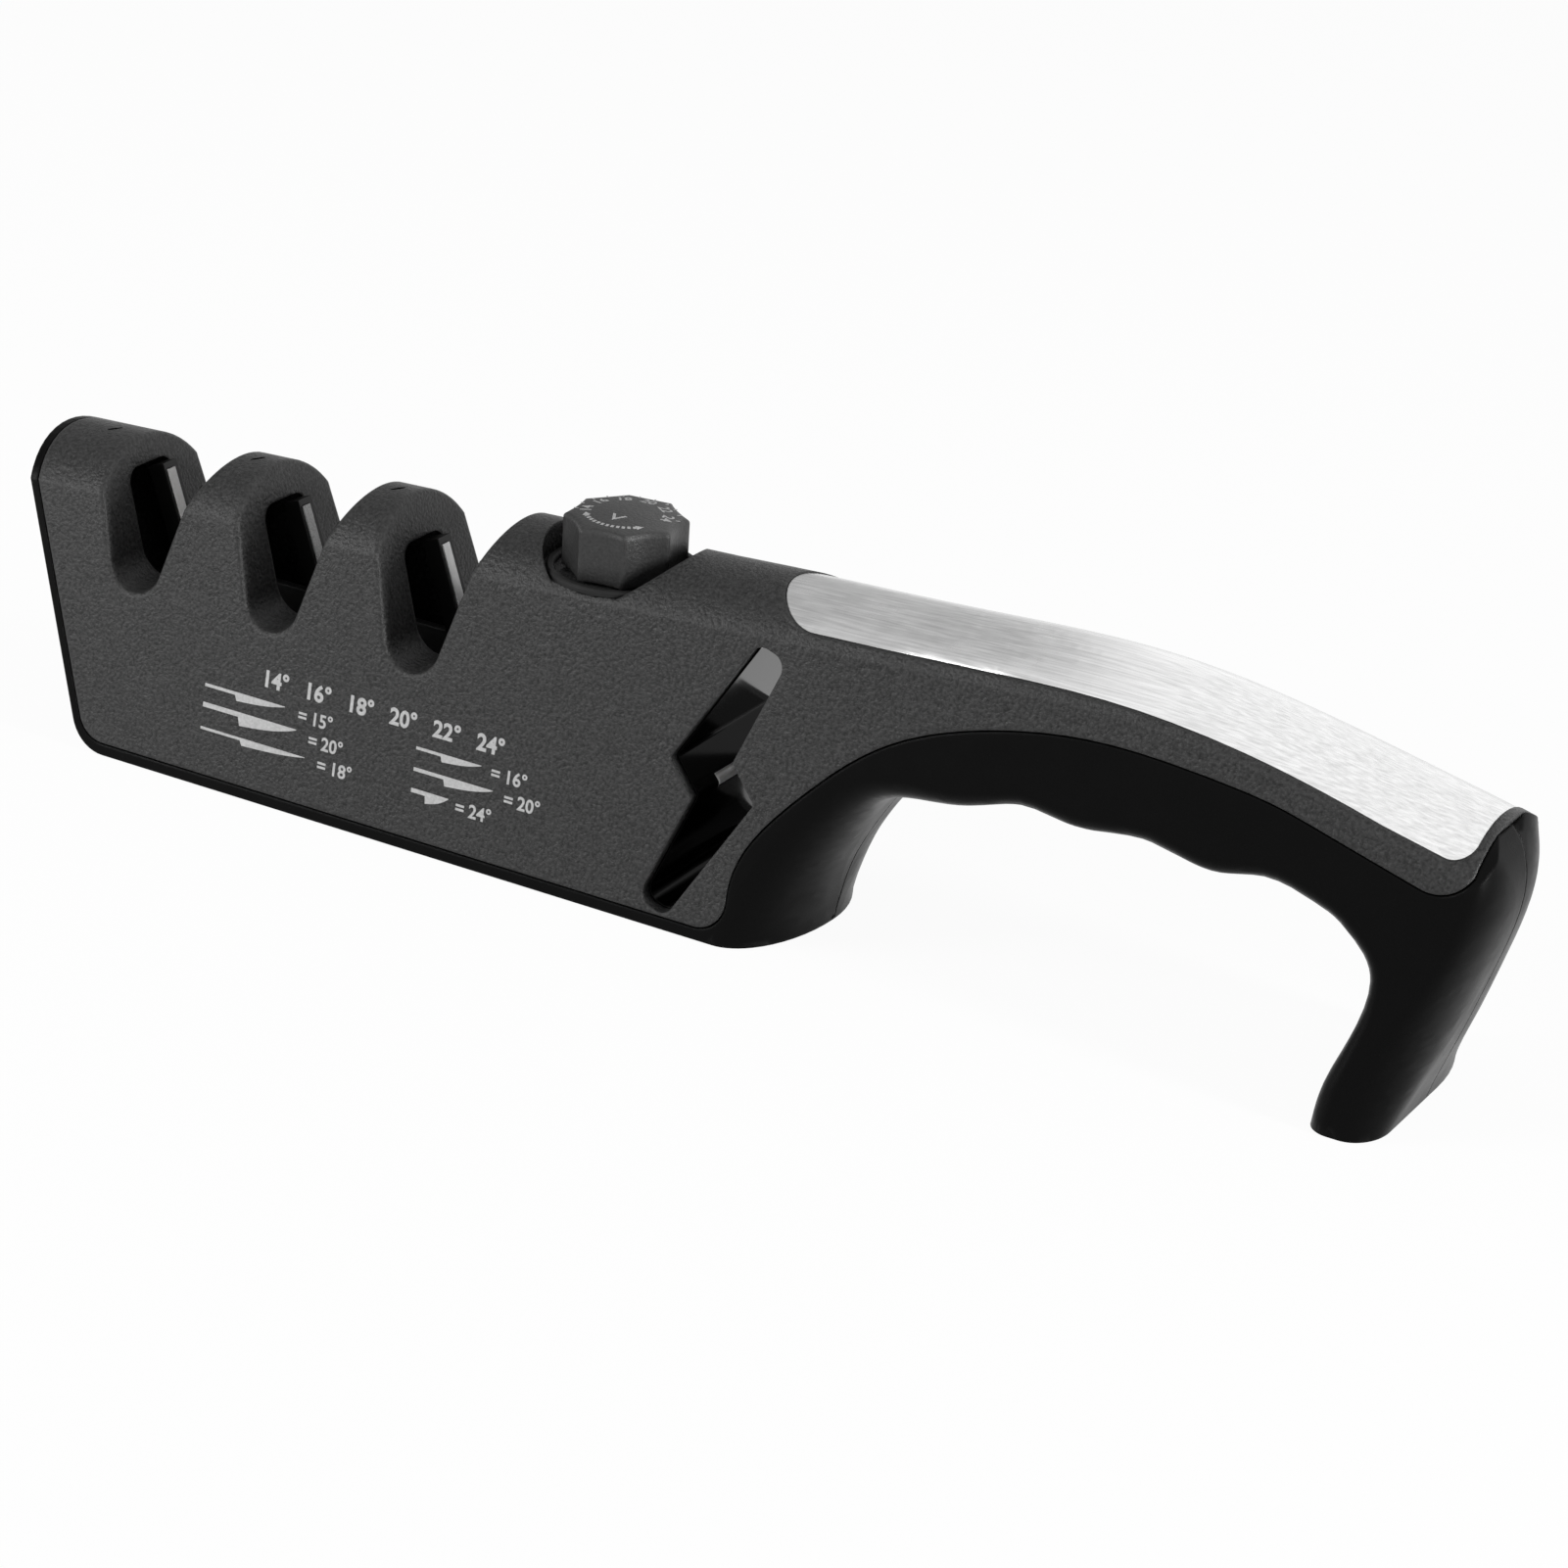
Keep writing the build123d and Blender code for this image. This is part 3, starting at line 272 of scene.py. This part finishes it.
# %% [markdown]
# A piece made here is kept in three steps: its mesh gets one finish, its object is linked, and it rides on
# a body of the model, so that it moves with the joints. A modifier's result is taken as a plain mesh first.

# %% Keeping a piece


def keep(name, mesh, slot_name, body):
    """An object for a finished mesh, which rides on a body and takes its finish from a slot."""
    mesh.materials.clear()
    mesh.materials.append(finishes[slot_name])
    piece = placed(name, mesh)
    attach(piece, body)
    return piece


def settled(piece):
    """The evaluated shape of an object as a plain mesh."""
    bpy.context.view_layer.update()
    graph = bpy.context.evaluated_depsgraph_get()
    return bpy.data.meshes.new_from_object(piece.evaluated_get(graph))


# %% [markdown]
# The pack's meshes are loose triangles, so a curved moulding would show its facets. For six mouldings a
# merged copy with smooth shading stands in: edges sharper than a set angle stay crisp, and normals weighted
# by area keep flat walls flat beside their roundings. The cover keeps its own mesh, because smooth shading
# draws dark blotches on the slivers beside the strip's bed and the knob's recess.

# %% Smooth copies of six mouldings
CREASE = math.radians(26.0)
MERGE = 0.002 * MM


def smooth_copy(node_name, body):
    """A merged, smooth-shaded copy that stands for a CAD node."""
    work = bmesh.new()
    work.from_mesh(nodes[node_name].data)
    bmesh.ops.remove_doubles(work, verts=work.verts, dist=MERGE)
    mesh = bpy.data.meshes.new(node_name + "_moulding")
    work.to_mesh(mesh)
    work.free()
    mesh.shade_smooth()
    mesh.set_sharp_from_angle(angle=CREASE)
    draft = placed("draft", mesh)
    weights = draft.modifiers.new("weights", "WEIGHTED_NORMAL")
    weights.keep_sharp = True
    final = settled(draft)
    bpy.data.objects.remove(draft)
    piece = keep(node_name + "_moulding", final, slots[node_name], body)
    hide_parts(node_name)
    return piece


for node_name in ("front_frame", "rear_frame", "handle_strip", "knob_bezel"):
    smooth_copy(node_name, "housing")
smooth_copy("angle_knob", "knob")
lining = smooth_copy("scissors_lining", "housing")

# %% [markdown]
# The lining shines at its upper end and at the bend on its right, where light reflects off it. The faces
# there take a glossier, slightly lighter copy of its finish as a second material: painted sheen, which is
# plainer than a mask in the shader.

# %% Painted sheen on the lining
SHEEN_TOP_Z = 46.5 * MM
BEND_X, BEND_LOW, BEND_HIGH = 63.0 * MM, 25.0 * MM, 33.0 * MM
lining.data.materials.append(finishes["lining_painted_sheen"])
SHEEN_INDEX = len(lining.data.materials) - 1
for face in lining.data.polygons:
    spot = face.center
    if spot.z > SHEEN_TOP_Z or (spot.x > BEND_X and BEND_LOW < spot.z < BEND_HIGH):
        face.material_index = SHEEN_INDEX
print("painted sheen faces", len([face for face in lining.data.polygons if face.material_index == SHEEN_INDEX]))

# %% [markdown]
# Ink is printed in a film on the plastic. Each sign is laid on the surface that a ray finds under it, so
# print follows the draft of the side and the dome of the knob. A ray starts outside the object and meets
# the outermost face first.

# %% Places on a surface
INK = 0.012 * MM
# How far out a ray starts: beside or above the object, below it, and above the knob, in metres.
RAY_FAR, RAY_BELOW, RAY_OVER_KNOB = 0.1, 0.05, 0.01
UP = Vector((0.0, 0.0, 1.0))
DOWN = Vector((0.0, 0.0, -1.0))
FORWARD = Vector((0.0, 1.0, 0.0))


def surface(node_name):
    """A CAD node's faces, ready for rays."""
    mesh = nodes[node_name].data
    corners = [vertex.co.copy() for vertex in mesh.vertices]
    return BVHTree.FromPolygons(corners, [tuple(face.vertices) for face in mesh.polygons])


def laid(faces, start, aim, upwards):
    """The place on a surface that a ray meets, turned so that a sign's top points upwards along it."""
    point, normal, _index, _far = faces.ray_cast(start, aim)
    if normal.dot(aim) > 0:
        normal = -normal
    side = upwards.cross(normal).normalized()
    top = normal.cross(side)
    turned_to = Matrix((side, top, normal)).transposed().to_4x4()
    return Matrix.Translation(point + normal * INK) @ turned_to


cover_faces, knob_faces = surface("upper_cover"), surface("angle_knob")
print("ink film", INK / MM, "mm")

# %% [markdown]
# A sign is a thin closed plate. Numbers come from a text object, and other signs from an outline of a few
# points. A text is made a mesh before its place is applied, and all plates of one ink are joined.

# %% Plates
PRINT_MERGE = MERGE / 4
LETTER_STEPS = 3


def sign_mesh(text, size, weight, align="LEFT"):
    """A number or sign as a thin plate, its size and weight in millimetres."""
    letters = bpy.data.curves.new("sign", "FONT")
    letters.body = text
    letters.size = size * MM
    letters.align_x = align
    letters.align_y = "CENTER"
    letters.offset = weight * MM
    letters.extrude = INK / 2
    letters.resolution_u = LETTER_STEPS
    holder = placed("sign", letters)
    mesh = settled(holder)
    bpy.data.objects.remove(holder)
    return mesh


def plate_mesh(outline):
    """A flat closed outline in millimetres as a thin plate."""
    work = bmesh.new()
    low = [work.verts.new((x * MM, y * MM, -INK / 2)) for x, y in outline]
    high = [work.verts.new((x * MM, y * MM, INK / 2)) for x, y in outline]
    work.faces.new(reversed(low))
    work.faces.new(high)
    count = len(outline)
    for i in range(count):
        work.faces.new((low[i], low[(i + 1) % count], high[(i + 1) % count], high[i]))
    bmesh.ops.recalc_face_normals(work, faces=work.faces)
    mesh = bpy.data.meshes.new("plate")
    work.to_mesh(mesh)
    work.free()
    return mesh


def joined(name, parts, slot_name, body):
    """Meshes with their places, joined into one piece."""
    work = bmesh.new()
    for mesh, place in parts:
        mesh.transform(place)
        work.from_mesh(mesh)
        bpy.data.meshes.remove(mesh)
    bmesh.ops.remove_doubles(work, verts=work.verts, dist=PRINT_MERGE)
    bmesh.ops.recalc_face_normals(work, faces=work.faces)
    final = bpy.data.meshes.new(name)
    work.to_mesh(final)
    work.free()
    return keep(name, final, slot_name, body)


print("plates merge within", PRINT_MERGE / MM, "mm")

# %% [markdown]
# The front print. It could be an image on the plastic, but thin plates stay sharp from near by and need no
# file. A row of plain angles stands at the top, and under it each line pairs a small blade outline with its
# angle. A blade is drawn by a rule: a straight handle, a heel a little past it, and an edge whose curve runs
# up to the point.

# %% Front print
TITLE_ANGLES = (14, 16, 18, 20, 22, 24)
TITLE_X, TITLE_STEP, TITLE_Z = -35.8, 9.4, 23.1
TITLE_SIZE, TITLE_WEIGHT = 4.3, 0.13
LINE_ZS = (18.3, 14.3, 10.3)
LINE_SIZE, LINE_WEIGHT, ANGLE_GAP = 3.5, 0.075, 2.9
# A line is where its blade starts, the blade's length and depth, where the equals sign stands and the angle.
LEFT_LINES = ((-48.2, 18.0, 1.5, -27.2, 15), (-48.2, 21.0, 2.3, -24.4, 20), (-48.2, 23.5, 1.3, -21.9, 18))
RIGHT_LINES = ((-1.2, 14.0, 1.4, 14.9, 16), (-1.2, 17.0, 1.7, 18.2, 20), (-1.2, 8.0, 2.0, 8.4, 24))
TANG_SHARE, HEEL_SHARE, GRIP_SHARE = 0.38, 1.06, 0.30
BELLY_SHARE, SPINE_SHARE, TIP_SHARE = 0.5, 0.10, 0.08
EDGE_STEPS, POINT_POWER = 8, 4


def on_front(x, z):
    """A place on the front face, for a place along it and its height in millimetres."""
    return laid(cover_faces, Vector((x * MM, -RAY_FAR, z * MM)), FORWARD, UP)


def blade_outline(length, depth):
    """A small kitchen blade with its handle, spine along the top and a curved edge to the point."""
    tang = length * TANG_SHARE
    heel = tang * HEEL_SHARE
    grip = depth * GRIP_SHARE
    spine = SPINE_SHARE * depth
    edge = []
    for i in range(EDGE_STEPS + 1):
        t = i / EDGE_STEPS
        edge.append((heel + (length - heel) * t, -depth * (1 - BELLY_SHARE * t) * (1 - t ** POINT_POWER)))
    top = [(length, TIP_SHARE * depth), (heel, spine), (0.0, spine)]
    return [(0.0, -grip), (tang, -grip)] + edge + top


parts = []
for i, angle in enumerate(TITLE_ANGLES):
    number = sign_mesh(f"{angle}°", TITLE_SIZE, TITLE_WEIGHT)
    parts.append((number, on_front(TITLE_X + i * TITLE_STEP, TITLE_Z)))
for lines in (LEFT_LINES, RIGHT_LINES):
    for (start, length, depth, equal, angle), z in zip(lines, LINE_ZS):
        parts.append((plate_mesh(blade_outline(length, depth)), on_front(start, z + depth / 2)))
        parts.append((sign_mesh("=", LINE_SIZE, LINE_WEIGHT), on_front(equal, z)))
        parts.append((sign_mesh(f"{angle}°", LINE_SIZE, LINE_WEIGHT), on_front(equal + ANGLE_GAP, z)))
front_print = joined("front_print", parts, "print_ink", "housing")
print("front print", len(front_print.data.polygons), "faces")

# %% [markdown]
# The knob's dial. Angles stand every two degrees, and one degree takes eighteen degrees of turn. The angle
# at rest is on the far side. The near side has an arc of dashes between two arrow points, and a small wedge
# inside it. All of it rides on the knob, so the numbers pass the far side as the knob turns.

# %% Dial numbers
DIAL_RADIUS, DIAL_SIZE, DIAL_WEIGHT = 7.2, 2.9, 0.06
TURN_PER_DEGREE, REST_ANGLE, FAR_SIDE = 18.0, 20, 90
knob_low, knob_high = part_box("angle_knob")
knob_middle = (knob_low + knob_high) / 2


def on_knob(radius, bearing, upwards=None):
    """A place on the knob's top at a radius in millimetres and a bearing, its top outward unless told."""
    outward = Vector((math.cos(bearing), math.sin(bearing), 0.0))
    start = Vector((knob_middle.x, knob_middle.y, knob_high.z + RAY_OVER_KNOB)) + outward * radius * MM
    return laid(knob_faces, start, DOWN, upwards or outward)


parts = []
for angle in TITLE_ANGLES:
    bearing = math.radians(FAR_SIDE - (angle - REST_ANGLE) * TURN_PER_DEGREE)
    parts.append((sign_mesh(str(angle), DIAL_SIZE, DIAL_WEIGHT, "CENTER"), on_knob(DIAL_RADIUS, bearing)))
print("dial numbers", len(parts))

# %% [markdown]
# The arc, its arrow points and the wedge are flat outlines of a few points each. They join the numbers in
# one piece, because ink of one colour on one body needs no more.

# %% Dial arc and wedge
ARC_FIRST, ARC_LAST = math.radians(-140), math.radians(-40)
DASHES, DASH_LEAD, DASH_SPANS = 12, 0.9, 12.8
DASH_X, DASH_Y = 0.28, 0.40
ARROW_X, ARROW_FOOT, ARROW_TIP = 0.75, -0.6, 0.85
WEDGE_X, WEDGE_TOP, WEDGE_POINT = 1.5, 1.3, -1.5
WEDGE_INNER_X, WEDGE_INNER_POINT = 0.9, -0.4
WEDGE_RADIUS, NEAR_SIDE = 3.4, math.radians(-90)
arrow = [(-ARROW_X, ARROW_FOOT), (ARROW_X, ARROW_FOOT), (0.0, ARROW_TIP)]
dash = [(-DASH_X, -DASH_Y), (DASH_X, -DASH_Y), (DASH_X, DASH_Y), (-DASH_X, DASH_Y)]
outer = [(-WEDGE_X, WEDGE_TOP), (0.0, WEDGE_POINT), (WEDGE_X, WEDGE_TOP)]
inner = [(WEDGE_INNER_X, WEDGE_TOP), (0.0, WEDGE_INNER_POINT), (-WEDGE_INNER_X, WEDGE_TOP)]
for bearing, way in ((ARC_FIRST, -1), (ARC_LAST, 1)):
    along = Vector((-math.sin(bearing), math.cos(bearing), 0.0)) * way
    parts.append((plate_mesh(arrow), on_knob(DIAL_RADIUS, bearing, along)))
for i in range(DASHES):
    bearing = ARC_FIRST + (ARC_LAST - ARC_FIRST) * (i + DASH_LEAD) / DASH_SPANS
    parts.append((plate_mesh(dash), on_knob(DIAL_RADIUS, bearing)))
parts.append((plate_mesh(outer + inner), on_knob(WEDGE_RADIUS, NEAR_SIDE, FORWARD)))
dial_print = joined("dial_print", parts, "print_ink", "knob")
print("dial print", len(dial_print.data.polygons), "faces")

# %% [markdown]
# Geometry trees and the studio's shaders reckon with nodes. These two helpers say a sum or a vector in one
# line, with a socket or a plain number in each place.

# %% Sums and vectors as nodes


def linked_math(tree, operation, first, second):
    """A math node fed by sockets or plain numbers."""
    made = add_node(tree, "ShaderNodeMath", operation=operation)
    feed(tree, first, made.inputs[0])
    feed(tree, second, made.inputs[1])
    return made.outputs[0]


def linked_vector(tree, x, y, z):
    """A vector fed by sockets or plain numbers."""
    made = add_node(tree, "ShaderNodeCombineXYZ")
    for axis, value in zip("XYZ", (x, y, z)):
        feed(tree, value, made.inputs[axis])
    return made.outputs[0]


print("node sums", [helper.__name__ for helper in (linked_math, linked_vector)])

# %% [markdown]
# Eleven short strokes mark the knob's clicks, one for each degree. A loop could lay them one by one, but a
# small geometry tree says the rule once: points in a line take their bearing from their index, and a bar
# stands on each. The tree's inputs carry the sizes, and it ends in real bars with their ink, because only
# those become a plain mesh.

# %% The tick tree
FLOAT_INPUTS = ("Radius", "Step", "First", "Height", "Length", "Width", "Thickness")


def arc_points(tree, given):
    """Points on an arc about a centre, with the bearing that each has."""
    line = add_node(tree, "GeometryNodeMeshLine", Offset=(0.0, 0.0, 0.0))
    tree.links.new(given["Count"], line.inputs["Count"])
    index = add_node(tree, "GeometryNodeInputIndex").outputs[0]
    bearing = linked_math(tree, "ADD", linked_math(tree, "MULTIPLY", index, given["Step"]), given["First"])
    across = linked_math(tree, "MULTIPLY", linked_math(tree, "COSINE", bearing, 0.0), given["Radius"])
    along = linked_math(tree, "MULTIPLY", linked_math(tree, "SINE", bearing, 0.0), given["Radius"])
    centred = add_node(tree, "ShaderNodeVectorMath", operation="ADD")
    tree.links.new(linked_vector(tree, across, along, given["Height"]), centred.inputs[0])
    tree.links.new(given["Centre"], centred.inputs[1])
    moved = add_node(tree, "GeometryNodeSetPosition")
    tree.links.new(line.outputs[0], moved.inputs["Geometry"])
    tree.links.new(centred.outputs[0], moved.inputs["Position"])
    return moved.outputs[0], bearing


def tick_tree():
    """Bars on an arc: how many, how far out, how far apart, where the first stands, and their size."""
    tree = bpy.data.node_groups.new("arc_ticks", "GeometryNodeTree")
    tree.interface.new_socket(name="Geometry", in_out="OUTPUT", socket_type="NodeSocketGeometry")
    kinds = {"Count": "NodeSocketInt", "Centre": "NodeSocketVector", "Ink": "NodeSocketMaterial"}
    kinds.update({name: "NodeSocketFloat" for name in FLOAT_INPUTS})
    for name, kind in kinds.items():
        tree.interface.new_socket(name=name, in_out="INPUT", socket_type=kind)
    given = add_node(tree, "NodeGroupInput").outputs
    points, bearing = arc_points(tree, given)
    bar = add_node(tree, "GeometryNodeMeshCube")
    size = linked_vector(tree, given["Length"], given["Width"], given["Thickness"])
    tree.links.new(size, bar.inputs["Size"])
    stand = add_node(tree, "GeometryNodeInstanceOnPoints")
    tree.links.new(points, stand.inputs["Points"])
    tree.links.new(bar.outputs[0], stand.inputs["Instance"])
    tree.links.new(linked_vector(tree, 0.0, 0.0, bearing), stand.inputs["Rotation"])
    real = add_node(tree, "GeometryNodeRealizeInstances")
    inked = add_node(tree, "GeometryNodeSetMaterial")
    result = add_node(tree, "NodeGroupOutput")
    tree.links.new(stand.outputs[0], real.inputs[0])
    tree.links.new(real.outputs[0], inked.inputs["Geometry"])
    tree.links.new(given["Ink"], inked.inputs["Material"])
    tree.links.new(inked.outputs[0], result.inputs[0])
    return tree


ticks = tick_tree()
print("tick tree", len(ticks.nodes), "nodes")

# %% [markdown]
# The ticks stand on the arc outside the numbers, at the height that a ray finds there. The first is at the
# knob's largest angle, and each step is one click. The modifier's inputs are set by identifier before the
# draft is first evaluated, and only the plain mesh is kept.

# %% Dial ticks
TICKS, TICKS_PAST_REST, TICK_RADIUS = 11, 4, 9.15
TICK_LENGTH, TICK_WIDTH, TICK_THICKNESS = 0.9, 0.26, 0.05
tick_values = {
    "Count": TICKS,
    "Radius": TICK_RADIUS * MM,
    "Step": math.radians(TURN_PER_DEGREE),
    "First": math.radians(FAR_SIDE - TICKS_PAST_REST * TURN_PER_DEGREE),
    "Height": on_knob(TICK_RADIUS, math.radians(FAR_SIDE)).translation.z,
    "Length": TICK_LENGTH * MM,
    "Width": TICK_WIDTH * MM,
    "Thickness": TICK_THICKNESS * MM,
    "Centre": (knob_middle.x, knob_middle.y, 0.0),
    "Ink": finishes["print_ink"],
}


def grown(tree, name, values, slot_name, body):
    """A tree's result, with each of its inputs set, as a plain piece."""
    draft = placed("draft", bpy.data.meshes.new("draft"))
    modifier = draft.modifiers.new("tree", "NODES")
    modifier.node_group = tree
    for item in tree.interface.items_tree:
        if item.in_out == "INPUT":
            modifier[item.identifier] = values[item.name]
    mesh = settled(draft)
    bpy.data.objects.remove(draft)
    return keep(name, mesh, slot_name, body)


dial_ticks = grown(ticks, "dial_ticks", tick_values, "print_ink", "knob")
print("dial ticks", len(dial_ticks.data.polygons), "faces")

# %% [markdown]
# A small slanted nick marks the middle of each hump. Cutting it would change the cover's mesh, which stays as
# it was packed. So the nick's shade is painted: a dark sliver, thick in its middle, lies on the crown where
# a ray from above finds it.

# %% Hump nicks as painted shade
NICK_XS = (-84.2, -51.2, -19.9)
NICK_HALF_WIDTH, NICK_HALF_LENGTH, NICK_POINTS = 0.34, 1.5, 12
NICK_LEAN = Vector((0.55, 0.83, 0.0))
nick = []
for i in range(NICK_POINTS):
    turn = 2 * math.pi * i / NICK_POINTS
    nick.append((NICK_HALF_WIDTH * math.sin(turn), NICK_HALF_LENGTH * math.cos(turn)))
parts = []
for x in NICK_XS:
    start = Vector((x * MM, 0.0, RAY_FAR))
    parts.append((plate_mesh(nick), laid(cover_faces, start, DOWN, NICK_LEAN)))
joined("hump_nick_shade", parts, "recess_painted_shade", "housing")
print("hump nicks", len(parts))

# %% [markdown]
# The screws that hold the halves and the base have a cross recess. It is small and its shade is dark, so a
# flat dark cross of painted shade stands for it, laid on each head where a ray finds it: from behind for the
# grip's three screws and from below for the base's four. One quarter of the cross is drawn and turned four
# times.

# %% Screw recesses
GRIP_SCREWS = ((87.8, 36.0), (130.4, 44.9), (188.1, 28.9))
BASE_SCREWS = ((-51.5, -14.3), (-51.5, 14.3), (29.2, -14.3), (29.2, 14.3))
CROSS_ARM, CROSS_REACH, CROSS_QUARTERS = 0.33, 1.45, 4
quarter = [(CROSS_ARM, CROSS_REACH), (CROSS_ARM, CROSS_ARM), (CROSS_REACH, CROSS_ARM)]
cross = []
for i in range(CROSS_QUARTERS):
    turn = -2 * math.pi * i / CROSS_QUARTERS
    for x, y in quarter:
        cross.append((x * math.cos(turn) - y * math.sin(turn), x * math.sin(turn) + y * math.cos(turn)))
parts = []
grip_faces, base_faces = surface("frame_screws"), surface("base_screws")
for x, z in GRIP_SCREWS:
    start = Vector((x * MM, RAY_FAR, z * MM))
    parts.append((plate_mesh(cross), laid(grip_faces, start, -FORWARD, UP)))
for x, y in BASE_SCREWS:
    start = Vector((x * MM, y * MM, -RAY_BELOW))
    parts.append((plate_mesh(cross), laid(base_faces, start, UP, FORWARD)))
joined("screw_recess_shade", parts, "recess_painted_shade", "housing")
print("screw crosses", len(parts))

# %% [markdown]
# The floor of a white studio. More light would wash out the black plastic, so the white comes from a Light
# Path node: the floor looks nearly white to the camera and in gloss, and is a plain pale paper to every
# other ray. A soft shadow of the object still shows on it.

# %% Floor
FLOOR_Z, FLOOR_REACH = -0.0003, 3.0
PAPER_GREY, PAPER_ROUGH, PAPER_SEEN = 0.9, 0.9, 0.95
FLOOR_CORNERS = ((-1, -1), (1, -1), (1, 1), (-1, 1))


def seen_directly(tree):
    """One for rays from the camera, in gloss or through glass, and zero for the rest."""
    rays = add_node(tree, "ShaderNodeLightPath").outputs
    first = linked_math(tree, "MAXIMUM", rays["Is Camera Ray"], rays["Is Glossy Ray"])
    return linked_math(tree, "MAXIMUM", first, rays["Is Transmission Ray"])


paper = bpy.data.materials.new("paper")
paper.use_nodes = True
paper_tree = paper.node_tree
paper_shader = paper_tree.nodes["Principled BSDF"]
paper_shader.inputs["Base Color"].default_value = (PAPER_GREY, PAPER_GREY, PAPER_GREY, 1.0)
paper_shader.inputs["Roughness"].default_value = PAPER_ROUGH
paper_shader.inputs["Specular IOR Level"].default_value = 0.0
white = add_node(paper_tree, "ShaderNodeEmission", Strength=1.0)
share = linked_math(paper_tree, "MULTIPLY", seen_directly(paper_tree), PAPER_SEEN)
blend = add_node(paper_tree, "ShaderNodeMixShader")
paper_tree.links.new(share, blend.inputs[0])
paper_tree.links.new(paper_shader.outputs[0], blend.inputs[1])
paper_tree.links.new(white.outputs[0], blend.inputs[2])
paper_tree.links.new(blend.outputs[0], paper_tree.nodes["Material Output"].inputs["Surface"])
floor_mesh = bpy.data.meshes.new("floor")
floor_places = [(x * FLOOR_REACH, y * FLOOR_REACH, FLOOR_Z) for x, y in FLOOR_CORNERS]
floor_mesh.from_pydata(floor_places, [], [(0, 1, 2, 3)])
floor_mesh.materials.append(paper)
floor = placed("floor", floor_mesh)
print("floor", [2 * FLOOR_REACH, 2 * FLOOR_REACH], "metres")

# %% [markdown]
# The world. The camera sees it white, and diffuse light gets a low, even level of it. One level in gloss as
# well would leave the steel strip a plain white. So there the level rises from the left to the right, within
# a narrow band of directions, and the strip is darker where it faces left and bright on the slope.

# %% World
DIFFUSE_LEVEL, GLOSS_LOW, GLOSS_HIGH = 0.26, 0.45, 1.25
BAND_LEFT, BAND_RIGHT = -0.47, -0.38
world = bpy.data.worlds.new("studio")
scene.world = world
world.use_nodes = True
sky = world.node_tree
sky_shade = sky.nodes["Background"]
sky_shade.inputs["Color"].default_value = (1.0, 1.0, 1.0, 1.0)
direction = add_node(sky, "ShaderNodeTexCoord")
parted = add_node(sky, "ShaderNodeSeparateXYZ")
sky.links.new(direction.outputs["Generated"], parted.inputs[0])
in_gloss = span(sky, parted.outputs["X"], GLOSS_LOW, GLOSS_HIGH, BAND_LEFT, BAND_RIGHT)
to_camera = add_node(sky, "ShaderNodeLightPath").outputs["Is Camera Ray"]
levels = add_node(sky, "ShaderNodeMix", A=DIFFUSE_LEVEL)
sky.links.new(seen_directly(sky), levels.inputs["Factor"])
sky.links.new(linked_math(sky, "MAXIMUM", in_gloss, to_camera), levels.inputs["B"])
sky.links.new(levels.outputs["Result"], sky_shade.inputs["Strength"])
print("world levels", DIFFUSE_LEVEL, GLOSS_LOW, GLOSS_HIGH)

# %% [markdown]
# Three lamps, all unseen by the camera. A high one and a low one at the left front lighten the shoulder and
# the front face, and a narrow tall one on the right draws the light on the roundings that turn right. They
# are panels and not points, so that their light has soft edges.

# %% Lamps
LAMP_AIM = Vector((0.03, 0.0, 0.04))
# A lamp is its name, its place, its width and height in metres and its power in watts.
LAMPS = (
    ("lamp_shoulder", (-0.64, -0.66, 0.62), 0.45, 0.22, 5.0),
    ("lamp_front", (-0.80, -0.75, 0.28), 0.40, 0.40, 5.0),
    ("lamp_right", (1.05, -0.06, 0.22), 0.12, 0.50, 13.0),
)
for name, place, width, height, power in LAMPS:
    data = bpy.data.lights.new(name, "AREA")
    data.shape = "RECTANGLE"
    data.size = width
    data.size_y = height
    data.energy = power
    made = placed(name, data)
    made.location = place
    made.rotation_euler = (LAMP_AIM - Vector(place)).to_track_quat("-Z", "Y").to_euler()
    made.visible_camera = False
scene.view_settings.view_transform = "Standard"
